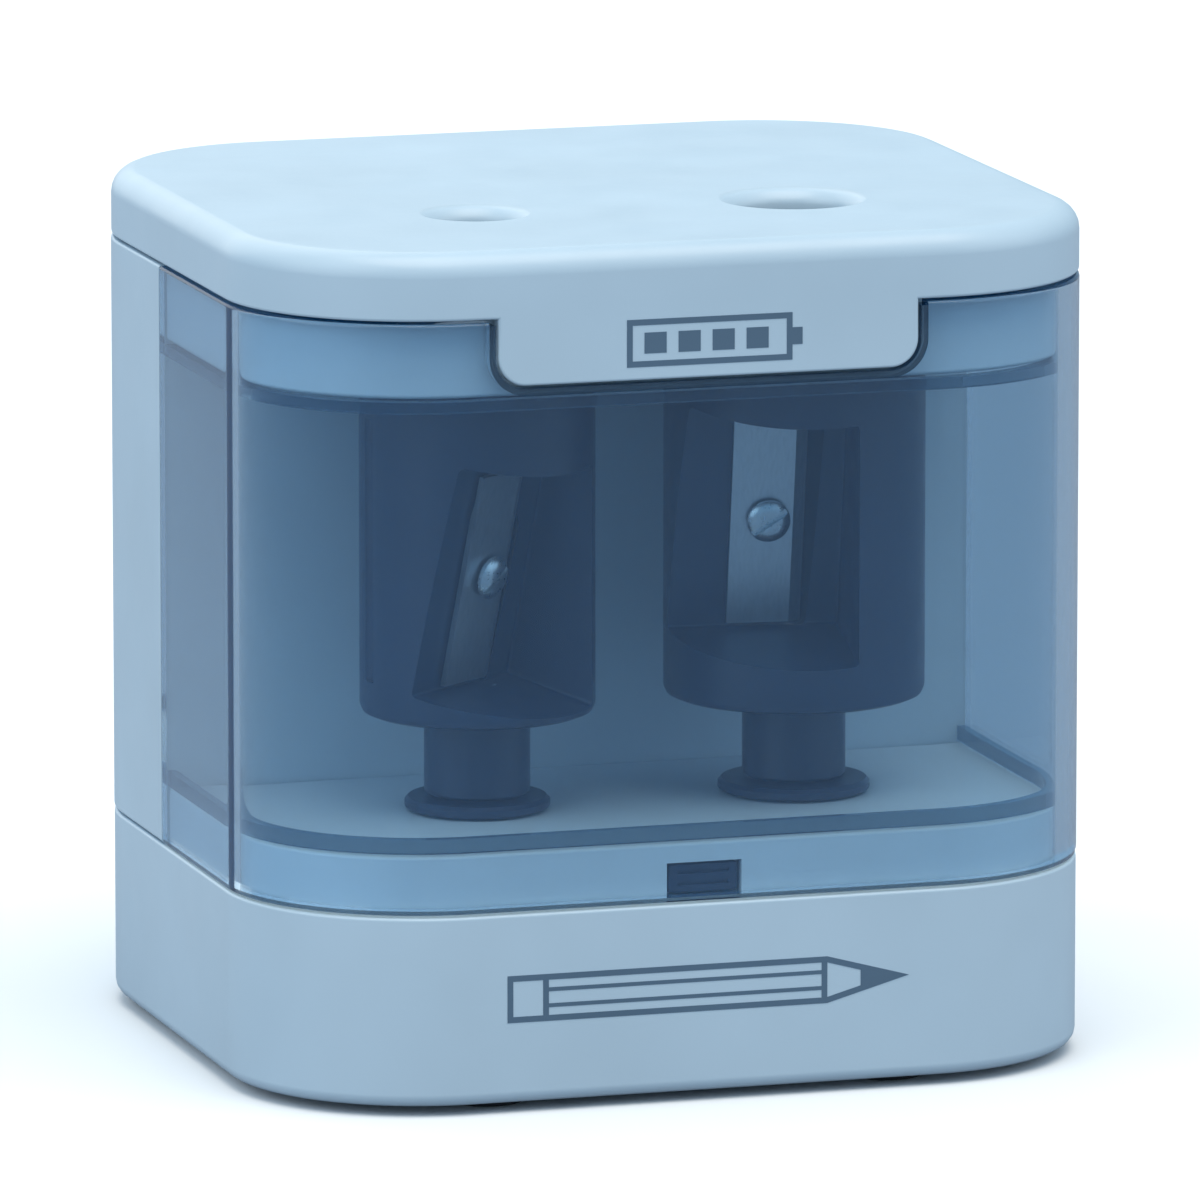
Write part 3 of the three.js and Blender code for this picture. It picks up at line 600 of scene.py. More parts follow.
def make_base():
    """The base housing: the lower body, the inset spigot and the deck under the cutters."""
    s = sizes()
    inner = s.wall + GAP
    steps = [
        add(slab_front(inner, BASE_TOP - s.plate, DECK_TOP, rim_high=0.4 * MM)),
        cut(slab(s.wall, BASE_LOW.z - MM, BASE_TOP - s.wall)),
        cut(slab_front(inner + s.plate, BASE_TOP - 2 * s.plate, DECK_TOP - s.plate, s.plate)),
    ]
    for centre in shaft_centres().values():
        steps.append(cut(bar(BUSH_BORE, 0, TOP, centre.x, centre.y)))
    window_low = LATCH_LOW - Vector((GAP, 0, GAP))
    window_high = LATCH_HIGH + Vector((GAP, 0, GAP))
    window_low.y = FRONT
    window_high.y = FRONT + inner + 2 * s.plate
    steps.append(cut(block(window_low, window_high)))
    pinion = centre_of("motor_pinion")
    steps.append(cut(bar(PINION_ROOM, BASE_TOP - 3 * MM, BASE_TOP + MM, pinion.x, pinion.y)))
    for index in range(1, 5):
        screw = centre_of(f"base_screw_{index}")
        boss_top = (DECK_TOP if screw.y < 0 else BASE_TOP) - MM
        boss_low = PLATE_LOW.z + s.plate + GAP
        bore_top = PLATE_LOW.z + s.plate + 10 * MM
        steps.append(add(bar(SCREW_BOSS, boss_low, boss_top, screw.x, screw.y)))
        steps.append(cut(bar(SCREW_BORE, 0, bore_top, screw.x, screw.y)))
    made = shaped(
        "base_housing_moulding",
        slab(s.ink_thickness, BASE_LOW.z, BASE_TOP, 1.4 * MM, 0.35 * MM, 4),
        *steps,
    )
    return finish(made, "base", MATERIALS["ice ABS"], "white_plastic", "base_housing")


def slab_part(bm, plane, **cleared):
    """What is left of a slab on one side of an upright plane, closed again."""
    cutting = bmesh.ops.bisect_plane(
        bm,
        geom=bm.verts[:] + bm.edges[:] + bm.faces[:],
        plane_co=(0, plane, 0),
        plane_no=(0, 1, 0),
        **cleared,
    )
    edges = [g for g in cutting["geom_cut"] if isinstance(g, bmesh.types.BMEdge)]
    bmesh.ops.contextual_create(bm, geom=edges)
    bmesh.ops.recalc_face_normals(bm, faces=bm.faces)
    return bm


def slab_front(inset, low, high, back_wall=0.0, **rims):
    """The front part of a slab, up to the plane where the hood ends."""
    return slab_part(slab(inset, low, high, **rims), HOOD_BACK - back_wall, clear_outer=True)


def slab_back(inset, low, high, front_wall=0.0, **rims):
    """The rear part of a slab, from the wall behind the cutters."""
    return slab_part(slab(inset, low, high, **rims), BIN_BACK + front_wall, clear_inner=True)


def make_screw(node, body):
    """A tapping screw, head down: a domed head with a cross, and a thread drawn as rings."""
    head, height, shank, length = 2.6 * MM, 1.0 * MM, 1.3 * MM, 11 * MM
    pitch, thread, plain_tip = 0.7 * MM, 0.22 * MM, 1.2 * MM
    low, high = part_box(node)
    at = (low + high) / 2
    rings = []
    z = height
    while z < length - plain_tip:
        rings += [(shank, z), (shank - thread, z + pitch / 2)]
        z += pitch
    profile = [
        (0, 0),
        (head - 0.7 * MM, 0),
        (head - 0.15 * MM, 0.3 * MM),
        (head, 0.65 * MM),
        (head, height),
        *rings,
        (0.2 * MM, length),
        (0, length),
    ]
    shape = turned([(radius, low.z + z) for radius, z in profile], at.x, at.y, 32)
    cross = []
    reach, arm, depth = 1.5 * MM, 0.28 * MM, 0.6 * MM
    for wide, narrow in ((reach, arm), (arm, reach)):
        corner = Vector((wide, narrow, 0))
        foot = Vector((at.x, at.y, low.z - MM))
        cross.append(cut(block(foot - corner, foot + corner + Vector((0, 0, depth + MM)))))
    kind, index = node.rsplit("_", 1)
    screw = shaped(f"{kind}_turned_{index}", shape, *cross)
    finish(screw, body, MATERIALS["zinc plate"], "plated_steel", node)


def make_underside():
    """The base plate with its screws and rubber feet."""
    s = sizes()
    steps = []
    for index in range(1, 5):
        screw = centre_of(f"base_screw_{index}")
        foot = centre_of(f"foot_{index}")
        sink = PLATE_LOW.z + 1.3 * MM
        steps.append(cut(bar(SCREW_SINK, 0, sink, screw.x, screw.y, segments=40)))
        steps.append(cut(bar(SCREW_BORE, 0, PLATE_LOW.z + 5 * MM, screw.x, screw.y, segments=24)))
        steps.append(cut(bar(4.8 * MM, 0, PLATE_LOW.z + 0.7 * MM, foot.x, foot.y, segments=48)))
    for centre in shaft_centres().values():
        steps.append(add(bar(4 * MM, PLATE_LOW.z + MM, PLATE_HIGH.z, centre.x, centre.y)))
        steps.append(cut(bar(SHAFT_BORE, PLATE_LOW.z + 2.5 * MM, TOP, centre.x, centre.y)))
    axle = centre_of("compound_gear_axle")
    steps.append(add(bar(3.5 * MM, PLATE_LOW.z + MM, PLATE_LOW.z + 4.6 * MM, axle.x, axle.y)))
    steps.append(cut(bar(GEAR_PIN_BORE, PLATE_LOW.z + 2.5 * MM, TOP, axle.x, axle.y)))
    # A shallow blank panel between the feet, with rounded corners.
    panel = block((-21 * MM, -12 * MM, 0), (21 * MM, 12 * MM, PLATE_LOW.z + 0.35 * MM))
    round_edges(panel, upright_edges(panel), 3 * MM, 8)
    steps.append(cut(panel))
    plate = shaped(
        "base_plate_moulding",
        slab(s.wall + GAP, PLATE_LOW.z, PLATE_LOW.z + s.plate, 0.4 * MM, 0.2 * MM),
        *steps,
    )
    finish(plate, "base", MATERIALS["ice ABS"], "white_plastic", "base_plate")
    for index in range(1, 5):
        make_screw(f"base_screw_{index}", "base")
        make_foot(index)


def make_foot(index):
    """A rubber foot with a rounded edge and a shallow dish."""
    low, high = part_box(f"foot_{index}")
    at = (low + high) / 2
    radius = (high.x - low.x) / 2
    profile = [
        (0, 0.25 * MM),
        (radius - 2.2 * MM, 0.2 * MM),
        (radius - 1.6 * MM, 0),
        (radius - 0.6 * MM, 0),
        (radius - 0.18 * MM, 0.18 * MM),
        (radius, 0.6 * MM),
        (radius, high.z),
        (0, high.z),
    ]
    foot = object_of(f"foot_moulding_{index}", turned(profile, at.x, at.y, 48))
    finish(foot, "base", MATERIALS["rubber"], "rubber", f"foot_{index}")


def make_latch():
    """The dark catch behind the window: a rounded block with two grip grooves."""
    latch = block(LATCH_LOW, LATCH_HIGH, 0.25 * MM)
    middle = (LATCH_LOW + LATCH_HIGH) / 2
    steps = []
    groove = 0.35 * MM
    for offset in (-0.7 * MM, 0.5 * MM):
        z = middle.z + offset
        groove_low = (LATCH_LOW.x + MM, LATCH_LOW.y - MM, z)
        groove_high = (LATCH_HIGH.x - MM, LATCH_LOW.y + groove, z + groove)
        steps.append(cut(block(groove_low, groove_high)))
    made = shaped("shell_latch_moulding", latch, *steps)
    finish(made, "shell_latch", MATERIALS["navy ABS"], "dark_plastic", "shell_latch")


# ---- rear body ----------------------------------------------------------------------
def make_rear_housing():
    """The rear body: its front wall closes the bin, and its bay holds the cells."""
    s = sizes()
    floor = HOUSING_LOW.z + s.plate
    bay_half = DOOR_HIGH.x + GAP
    bay_low = DOOR_LOW.z - GAP
    bay_high = DOOR_HIGH.z + GAP
    bay_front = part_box("battery_cell_1")[0].y - 0.5 * MM
    bay = block(
        (-bay_half - s.plate, bay_front - s.plate, floor - MM),
        (bay_half + s.plate, 1, bay_high + s.plate),
    )
    room = shaped("room", slab_back(s.wall, floor, HOUSING_HIGH.z + MM, s.wall), cut(bay))
    hollow = bmesh.new()
    hollow.from_mesh(room.data)
    bpy.data.objects.remove(room)
    cradle_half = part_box("motor_can")[1].x + GAP
    cradle_top = floor + 12 * MM
    steps = [cut(hollow)]
    for side in (-1, 1):
        near, far = sorted((side * cradle_half, side * (cradle_half + s.plate)))
        rib = block((near, BIN_BACK + MM, floor - MM), (far, bay_front - MM, cradle_top))
        steps.append(add(rib))
    switch_low, switch_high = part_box("left_start_switch")
    right_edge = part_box("right_start_switch")[1].x
    shelf_low = (switch_low.x - 6 * MM, BIN_BACK + MM, switch_low.z - GAP - s.plate)
    shelf_high = (right_edge + 6 * MM, switch_high.y + MM, switch_low.z - GAP)
    steps += [
        add(block(shelf_low, shelf_high)),
        cut(block((-bay_half, bay_front, bay_low), (bay_half, 1, bay_high))),
    ]
    pinion = centre_of("motor_pinion")
    steps.append(cut(bar(PINION_ROOM, HOUSING_LOW.z - MM, floor + MM, pinion.x, pinion.y)))
    made = shaped(
        "rear_housing_moulding",
        slab_back(0, HOUSING_LOW.z, HOUSING_HIGH.z, rim_low=0.3 * MM, rim_high=0.3 * MM),
        *steps,
    )
    finish(made, "base", MATERIALS["ice ABS"], "white_plastic", "rear_housing")


def make_battery_door():
    """The lift-off door: a panel that follows the back, with a finger recess and grip ribs."""
    s = sizes()
    thick = 1.8 * MM
    low, high = DOOR_LOW, DOOR_HIGH
    middle_z = (low.z + high.z) / 2
    grip_low = (-8 * MM, BACK - 0.9 * MM, high.z - 6 * MM)
    grip_high = (8 * MM, BACK + MM, high.z - 3 * MM)
    steps = [
        cut(slab(thick, 0, TOP)),
        keep(block((low.x, 0, low.z), (high.x, 1, high.z), 0.35 * MM, 3)),
        cut(block(grip_low, grip_high, 0.4 * MM)),
    ]
    for row in range(5):
        z = middle_z + (row - 2) * 2.6 * MM
        rib_low = (-13 * MM, BACK - 0.45 * MM, z - 0.5 * MM)
        rib_high = (13 * MM, BACK + MM, z + 0.5 * MM)
        steps.append(cut(block(rib_low, rib_high)))
    made = shaped("battery_door_moulding", slab(0, low.z, high.z, 0.3 * MM, 0.3 * MM), *steps)
    finish(made, "battery_door", MATERIALS["ice ABS"], "white_plastic", "battery_door")


def make_cells():
    """Four plain AA cells with a coloured sleeve, a crimped rim and a nub."""
    for index in range(1, 5):
        low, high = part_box(f"battery_cell_{index}")
        at = (low + high) / 2
        radius = (high.x - low.x) / 2
        length = high.z - low.z
        nub = 1.2 * MM
        upright = index % 2 == 1
        profile = [
            (0, 0.25 * MM),
            (radius - 2 * MM, 0.25 * MM),
            (radius - 1.4 * MM, 0),
            (radius - 0.5 * MM, 0),
            (radius, 0.5 * MM),
            (radius, length - nub - 0.5 * MM),
            (radius - 0.5 * MM, length - nub),
            (radius - 1.2 * MM, length - nub),
            (radius - 1.5 * MM, length - nub - 0.3 * MM),
            (2.8 * MM, length - nub - 0.3 * MM),
            (2.7 * MM, length - 0.3 * MM),
            (2.4 * MM, length),
            (0, length),
        ]
        flip = (lambda z: low.z + z) if upright else (lambda z: high.z - z)
        cell = object_of(
            f"battery_cell_wrapped_{index}",
            turned([(r, flip(z)) for r, z in profile], at.x, at.y, 48),
        )
        finish(cell, "base", MATERIALS["sleeve"], "cell_sleeve", f"battery_cell_{index}")
        cell.data.materials.append(MATERIALS["nickel"])
        cell.data.materials.append(MATERIALS["sleeve band"])
        # Bare metal at both ends, and the sleeve's cut edge on the shoulder below the nub.
        nub_end = length - nub - 0.2 * MM
        for face in cell.data.polygons:
            rise = face.center.z - low.z if upright else high.z - face.center.z
            outward = (face.center.xy - at.xy).length > radius - 0.7 * MM
            if rise > nub_end or not outward:
                face.material_index = 1
            elif rise > nub_end - MM:
                face.material_index = 2


# ---- cutters ------------------------------------------------------------------------
# `pencil` is the bore's radius. `cone` is where the bore starts to narrow and `seat` is the
# middle of the blade, both below the top of the cutter. `facing` turns the blade from the
# front, in degrees.
CUTTERS = {
    "left": {
        "radius": 12.4 * MM,
        "pencil": 4.4 * MM,
        "flange": 7.6 * MM,
        "cone": 17 * MM,
        "seat": 21.7 * MM,
        "facing": 38,
    },
    "right": {
        "radius": 13.9 * MM,
        "pencil": 6.4 * MM,
        "flange": 8.1 * MM,
        "cone": 6 * MM,
        "seat": 17.5 * MM,
        "facing": -7,
    },
}
CONE_LEAN = math.radians(12)
CONE_TIP = 0.8 * MM  # radius of the cone's small end
NEAREST_FLAT = 1.1 * MM  # no flat comes closer to the axis than this
BITE = 0.4 * MM  # how far the blade stands into the cone
THROAT = 4.5 * MM  # how far a flat runs past the axis
CUTTER_LENGTH = 37 * MM
NECK = 5.5 * MM
BLADE_LENGTH = 23.2 * MM
BLADE_WIDTH = 8 * MM
BLADE_THICK = 0.6 * MM


def flat_frame(side, across=0.0, out=0.0):
    """Carries a piece made round the origin, facing +Z, on to a cutter's leaning flat."""
    cutter = CUTTERS[side]
    holder_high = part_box(f"{side}_cutter_holder")[1].z
    centre = shaft_centres()[side]
    middle = holder_high - cutter["seat"]
    cone = cutter["pencil"] - (cutter["seat"] - cutter["cone"]) * math.tan(CONE_LEAN)
    away = max(cone, NEAREST_FLAT) - BITE + out
    turn = Matrix.Rotation(math.radians(cutter["facing"]), 4, "Z")
    lean = Matrix.Rotation(math.pi / 2 + CONE_LEAN, 4, "X")
    stand = Matrix.Translation((across, -away, middle))
    return Matrix.Translation((centre.x, centre.y, 0)) @ turn @ stand @ lean


def make_cutter(side):
    """One cutter: the dark holder with its pencil cone, the blade and its screw."""
    cutter = CUTTERS[side]
    radius, pencil = cutter["radius"], cutter["pencil"]
    low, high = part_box(f"{side}_cutter_holder")
    centre = shaft_centres()[side]
    neck_top = high.z - CUTTER_LENGTH
    body_profile = [
        (0, low.z),
        (NECK - 0.3 * MM, low.z),
        (NECK, low.z + 0.3 * MM),
        (NECK, neck_top - 1.2 * MM),
        (NECK + 1.2 * MM, neck_top),
        (radius - 1.0 * MM, neck_top),
        (radius - 0.3 * MM, neck_top + 0.3 * MM),
        (radius, neck_top + 1.0 * MM),
        (radius, high.z - 0.8 * MM),
        (radius - 0.25 * MM, high.z - 0.2 * MM),
        (radius - 0.8 * MM, high.z),
        (0, high.z),
    ]
    cone_top = high.z - cutter["cone"]
    tip = cone_top - (pencil - CONE_TIP) / math.tan(CONE_LEAN)
    cone_profile = [
        (0, tip),
        (CONE_TIP, tip),
        (pencil, cone_top),
        (pencil, high.z - 0.6 * MM),
        (pencil + 0.9 * MM, high.z + 0.3 * MM),
        (0, high.z + 0.3 * MM),
    ]
    flat_low, flat_high = -12.2 * MM, 13 * MM  # it ends just above the end of the shaft
    frame_on = flat_frame(side)
    window = block((-2 * radius, flat_low, 0), (THROAT, flat_high, 2 * radius), 0.5 * MM)
    screw_hole = bar(SCREW_BORE, -4.3 * MM, MM, segments=32)
    across = -BLADE_WIDTH / 2 + GAP
    shaft_hole = bar(2.3 * MM, low.z - MM, neck_top + 3 * MM, centre.x, centre.y, segments=40)
    steps = [
        cut(turned(cone_profile, centre.x, centre.y)),
        cut(moved(window, frame_on)),
        cut(moved(screw_hole, flat_frame(side, across))),
        cut(shaft_hole),
    ]
    # Weight-saving grooves run up the far side of the body.
    for groove in range(5):
        angle = math.radians(cutter["facing"] + 30 + groove * 30)
        x = centre.x + math.cos(angle) * (radius + 0.55 * MM)
        y = centre.y + math.sin(angle) * (radius + 0.55 * MM)
        steps.append(cut(bar(1.2 * MM, neck_top + 4 * MM, high.z - 5 * MM, x, y, segments=24)))
    holder = shaped(
        f"{side}_cutter_moulding",
        turned(body_profile, centre.x, centre.y, 96),
        *steps,
    )
    body = f"{side}_cutter"
    finish(holder, body, MATERIALS["navy ABS"], "dark_plastic", f"{side}_cutter_holder")
    make_blade(side, across)


def make_blade(side, across):
    """The ground blade with its cutting bevel, held by one slotted screw."""
    body = f"{side}_cutter"
    half = BLADE_WIDTH / 2
    sheet = block((-half, -BLADE_LENGTH / 2, 0), (half, BLADE_LENGTH / 2, BLADE_THICK))
    bevel = block((-3 * MM, -BLADE_LENGTH, 0), (3 * MM, BLADE_LENGTH, 3 * MM))
    tilt = Matrix.Translation((half, 0, 0.05 * MM)) @ Matrix.Rotation(math.radians(23), 4, "Y")
    place = flat_frame(side, across, GAP)
    blade = shaped(
        f"{side}_blade_ground",
        moved(sheet, place),
        cut(moved(bevel, place @ tilt)),
        cut(moved(bar(1.7 * MM, -MM, MM, segments=32), place)),
    )
    finish(blade, body, MATERIALS["blade steel"], "blade_steel", f"{side}_blade", sharp=12)
    seat = 2 * GAP + BLADE_THICK
    profile = [
        (0, -seat - 4 * MM),
        (1.3 * MM, -seat - 4 * MM),
        (1.3 * MM, 0),
        (2.2 * MM, 0),
        (2.3 * MM, 0.15 * MM),
        (2.3 * MM, 0.5 * MM),
        (1.9 * MM, 0.9 * MM),
        (1.2 * MM, 1.1 * MM),
        (0, 1.1 * MM),
    ]
    slot = block((-3 * MM, -0.3 * MM, 0.6 * MM), (3 * MM, 0.3 * MM, 3 * MM))
    place = flat_frame(side, across, seat)
    screw = shaped(
        f"{side}_blade_screw_turned",
        moved(turned(profile, segments=40), place),
        cut(moved(slot, place @ Matrix.Rotation(math.radians(35), 4, "Z"))),
    )
    finish(screw, body, MATERIALS["zinc plate"], "plated_steel", f"{side}_blade_screw")


def make_bush(side):
    """The flanged bush that the shaft turns in."""
    low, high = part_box(f"{side}_deck_bush")
    centre = shaft_centres()[side]
    flange = CUTTERS[side]["flange"]
    bore = SHAFT_BORE
    profile = [
        (bore, low.z),
        (6 * MM, low.z),
        (6 * MM, high.z - 1.2 * MM),
        (flange - 0.2 * MM, high.z - 1.2 * MM),
        (flange, high.z - 1.0 * MM),
        (flange, high.z - 0.4 * MM),
        (flange - 0.4 * MM, high.z),
        (bore + 0.3 * MM, high.z),
        (bore, high.z - 0.3 * MM),
    ]
    bush = object_of(f"{side}_deck_bush_moulding", turned(profile, centre.x, centre.y))
    finish(bush, "base", MATERIALS["navy ABS"], "dark_plastic", f"{side}_deck_bush")


# ---- hood ---------------------------------------------------------------------------
def tongue_block(grow, top, y0, y1, rim=0.0):
    """The tongue's outline, standing in the front wall."""
    s = sizes()
    half = s.tongue_width / 2 + grow
    low = TONGUE_LOW - grow
    bm = block((-half, y0, low), (half, y1, top))
    lower = [
        e
        for e in bm.edges
        if all(abs(v.co.z - low) < TINY for v in e.verts)
        and abs(e.verts[0].co.x - e.verts[1].co.x) < TINY
    ]
    round_edges(bm, lower, s.tongue_round + grow, 12)
    if rim > 0:
        face = [e for e in bm.edges if all(abs(v.co.y - y0) < TINY for v in e.verts)]
        round_edges(bm, face, rim, 3)
    return bm


def shell_ring(name, low, high, outer, inner):
    """A U-shaped band of the shell in a darker tint, which paints the shade of the gap or edge along
    it.
    """
    made = shaped(
        name,
        slab(outer, low, high),
        cut(slab(inner, low - MM, high + MM, segments=2)),
        cut(behind(HOOD_BACK)),
    )
    finish(made, "hood", MATERIALS["polystyrene with painted shade"], "clear_shell")


def make_shell():
    """The clear shavings shell: a U-shaped wall, two inner ribs, and polished rims. The ribs and
    rims are tinted darker, as painted shade.
    """
    s = sizes()
    low, high = SHELL_LOW.z, SHELL_HIGH.z
    rim = 0.45 * MM  # height of the lower rim
    lip = 0.7 * MM  # width of the notch's rim
    seam = 0.02 * MM  # keeps the faces of two clear pieces apart
    notch = tongue_block(GAP + lip + seam, TOP + MM, FRONT - MM, FRONT + s.wall + GAP)
    made = shaped(
        "shavings_shell_moulding",
        slab(0, low + rim + seam, high, 0.0, 0.4 * MM),
        cut(slab(s.wall, low - MM, high + MM)),
        cut(behind(HOOD_BACK)),
        cut(notch),
    )
    finish(made, "hood", MATERIALS["clear polystyrene"], "clear_shell", "shavings_shell")
    # The lower rim and the two ribs are real bands of the moulding, but their darker tint is painted
    # shade.
    shell_ring("shell_lower_rim", low, low + rim, 0.1 * MM, s.wall)
    inside = s.wall + seam
    shell_ring("shell_lower_rib", DECK_TOP + GAP, DECK_TOP + 1.9 * MM, inside, inside + MM)
    rib_high = GUIDE_LOW.z - GAP
    shell_ring("shell_upper_rib", rib_high - 1.2 * MM, rib_high, inside, inside + 1.4 * MM)
    # The notch's rim is tinted darker too: painted shade round the tongue.
    outline = tongue_block(GAP + lip, high - 0.4 * MM, FRONT + 0.1 * MM, FRONT + s.wall)
    edge = shaped(
        "shell_notch_rim",
        outline,
        cut(tongue_block(GAP, TOP + MM, FRONT - MM, FRONT + s.wall + MM)),
    )
    finish(edge, "hood", MATERIALS["polystyrene with painted shade"], "clear_shell")


def make_guide_plate():
    """The tray behind the top of the shell, with the two pencil tubes."""
    s = sizes()
    inner = s.wall + GAP
    low, high = GUIDE_LOW.z, SHELL_HIGH.z
    steps = [cut(slab_front(inner + s.plate, low + s.plate, high + MM, s.plate))]
    for side, centre in shaft_centres().items():
        bore = CUTTERS[side]["pencil"]
        steps.append(add(bar(bore + 1.5 * MM, low + MM, high, centre.x, centre.y)))
        steps.append(cut(bar(bore, low - MM, high + MM, centre.x, centre.y)))
        slider_low, slider_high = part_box(f"{side}_start_slider")
        start = centre.y + bore + 2.7 * MM
        end = HOOD_BACK - s.plate - MM
        half = (slider_high.x - slider_low.x) / 2 + GAP
        left, right = centre.x - half, centre.x + half
        rail_high = (right + s.plate, end, slider_high.z)
        steps.append(add(block((left - s.plate, start, low + MM), rail_high)))
        channel_low = (left, start - MM, slider_low.z - GAP)
        steps.append(cut(block(channel_low, (right, end + MM, TOP))))
    for index in (1, 2):
        screw = centre_of(f"cover_screw_{index}")
        steps.append(add(bar(SCREW_BOSS, low + MM, high, screw.x, screw.y, segments=32)))
        steps.append(cut(bar(SCREW_BORE, low - MM, high + MM, screw.x, screw.y, segments=24)))
        steps.append(cut(bar(SCREW_SINK, low - MM, low + 1.3 * MM, screw.x, screw.y, segments=32)))
    made = shaped("guide_plate_moulding", slab_front(inner, low, high, rim_low=0.5 * MM), *steps)
    finish(made, "hood", MATERIALS["ice ABS"], "white_plastic", "guide_plate")
    for index in (1, 2):
        make_screw(f"cover_screw_{index}", "hood")


def make_cover():
    """The top cover: a rounded cap with its tongue and two countersunk pencil holes."""
    s = sizes()
    ceiling = TOP - 2.4 * MM
    skin = s.ink_thickness
    steps = [
        cut(slab(s.wall, COVER_LOW - MM, ceiling)),
        add(tongue_block(0, COVER_LOW + 1.5 * MM, FRONT + skin, FRONT + s.wall, 0.3 * MM)),
    ]
    for side, centre in shaft_centres().items():
        bore = CUTTERS[side]["pencil"]
        dish = [
            (0, ceiling - MM),
            (bore, ceiling - MM),
            (bore, TOP - 1.6 * MM),
            (bore + 0.2 * MM, TOP - 1.0 * MM),
            (bore + 0.8 * MM, TOP - 0.4 * MM),
            (bore + 1.7 * MM, TOP + 0.1 * MM),
            (0, TOP + 0.1 * MM),
        ]
        steps.append(cut(turned(dish, centre.x, centre.y)))
    for index in (1, 2):
        screw = centre_of(f"cover_screw_{index}")
        top = ceiling + MM
        steps.append(add(bar(SCREW_BOSS, COVER_LOW, top, screw.x, screw.y, segments=32)))
        steps.append(cut(bar(SCREW_BORE, COVER_LOW - MM, ceiling, screw.x, screw.y, segments=24)))
    made = shaped(
        "top_cover_moulding",
        slab(skin, COVER_LOW, TOP, 0.35 * MM, s.cover_round, 6),
        *steps,
    )
    finish(made, "hood", MATERIALS["ice ABS"], "white_plastic", "top_cover")


# ---- switches, sliders and printed marks ----------------------------------------------
def make_switches():
    """Microswitches with a button, and the sliders that press them."""
    for side in ("left", "right"):
        low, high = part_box(f"{side}_start_switch")
        button = 0.8 * MM
        body_low = Vector((low.x, low.y + button, low.z))
        slider_low, slider_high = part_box(f"{side}_start_slider")
        x, z = (low.x + high.x) / 2, (slider_low.z + slider_high.z) / 2
        half, rise = 1.5 * MM, 0.6 * MM
        plunger = block((x - half, low.y, z - rise), (x + half, low.y + 2 * MM, z + rise), 0.2 * MM)
        case = block(body_low, high, 0.3 * MM)
        switch = shaped(f"{side}_start_switch_case", case, add(plunger))
        finish(switch, "base", MATERIALS["black PVC"], "dark_plastic", f"{side}_start_switch")
        slope = block((-MM, -5 * MM, -5 * MM), (MM * 10, 0, 5 * MM))
        place = Matrix.Translation((slider_low.x - MM, slider_low.y, slider_high.z - 1.5 * MM))
        slider = shaped(
            f"{side}_start_slider_moulding",
            block(slider_low, slider_high, 0.2 * MM),
            cut(moved(slope, place @ Matrix.Rotation(math.radians(-45), 4, "X"))),
        )
        body = f"{side}_start_slider"
        finish(slider, body, MATERIALS["navy ABS"], "dark_plastic", f"{side}_start_slider")


def ink(points, line=0.0):
    """A thin printed patch on the front face, or its outline if a line width is given."""
    bm = bmesh.new()
    verts = [bm.verts.new((x, FRONT, z)) for x, z in points]
    face = bmesh.ops.contextual_create(bm, geom=verts)["faces"]
    if line > 0:
        bmesh.ops.inset_region(
            bm, faces=face, thickness=line, use_boundary=True, use_even_offset=True
        )
        bmesh.ops.delete(bm, geom=face, context="FACES")
    grown = bmesh.ops.extrude_face_region(bm, geom=bm.faces[:])["geom"]
    back = [g for g in grown if isinstance(g, bmesh.types.BMVert)]
    bmesh.ops.translate(bm, vec=(0, sizes().ink_thickness, 0), verts=back)
    bmesh.ops.recalc_face_normals(bm, faces=bm.faces)
    return bm


def ink_bar(x0, x1, z0, z1):
    """A printed rectangle."""
    return ink([(x0, z0), (x1, z0), (x1, z1), (x0, z1)])


def printed(name, body, *patches):
    """One piece made of several printed patches that don't overlap."""
    whole = bmesh.new()
    for patch in patches:
        mesh = bpy.data.meshes.new("patch")
        patch.to_mesh(mesh)
        patch.free()
        whole.from_mesh(mesh)
        bpy.data.meshes.remove(mesh)
    return finish(object_of(name, whole), body, MATERIALS["ink"], None)


def make_marks():
    """Two generic pictograms in ink: a battery on the tongue and a pencil on the base."""
    line = 0.62 * MM
    z = (TONGUE_LOW + COVER_LOW) / 2 + 0.35 * MM
    half, rise = 9 * MM, 2.5 * MM
    nub_width, nub_rise = 1.1 * MM, 0.9 * MM
    case = [(-half, z - rise), (half, z - rise), (half, z + rise), (-half, z + rise)]
    patches = [ink(case, line), ink_bar(half, half + nub_width, z - nub_rise, z + nub_rise)]
    cell, pitch, cell_rise = 2.4 * MM, 3.7 * MM, 1.1 * MM
    for index in range(4):
        x = -half + 1.9 * MM + index * pitch
        patches.append(ink_bar(x, x + cell, z - cell_rise, z + cell_rise))
    printed("battery_mark", "hood", *patches)

    z = (BASE_LOW.z + BASE_TOP) / 2 + 1.1 * MM
    rise = 2.5 * MM
    left, collar, shoulder, tip = -22 * MM, -17.5 * MM, 13 * MM, 22 * MM
    wood = [
        (left, z - rise),
        (shoulder, z - rise),
        (tip, z),
        (shoulder, z + rise),
        (left, z + rise),
    ]
    inner = rise - line
    slope = rise / (tip - shoulder)
    inner_tip = tip - line / math.sin(math.atan(slope))
    lead = inner_tip - 3 * MM
    lead_rise = (inner_tip - lead) * slope
    patches = [
        ink(wood, line),
        ink_bar(collar - line, collar, z - inner, z + inner),
        ink_bar(shoulder - line, shoulder, z - inner, z + inner),
        ink([(lead, z - lead_rise), (inner_tip, z), (lead, z + lead_rise)]),
    ]
    for offset in (-0.85 * MM, 0.85 * MM):
        low = z + offset - line / 3
        patches.append(ink_bar(collar, shoulder - line, low, low + 2 * line / 3))
    printed("pencil_mark", "base", *patches)


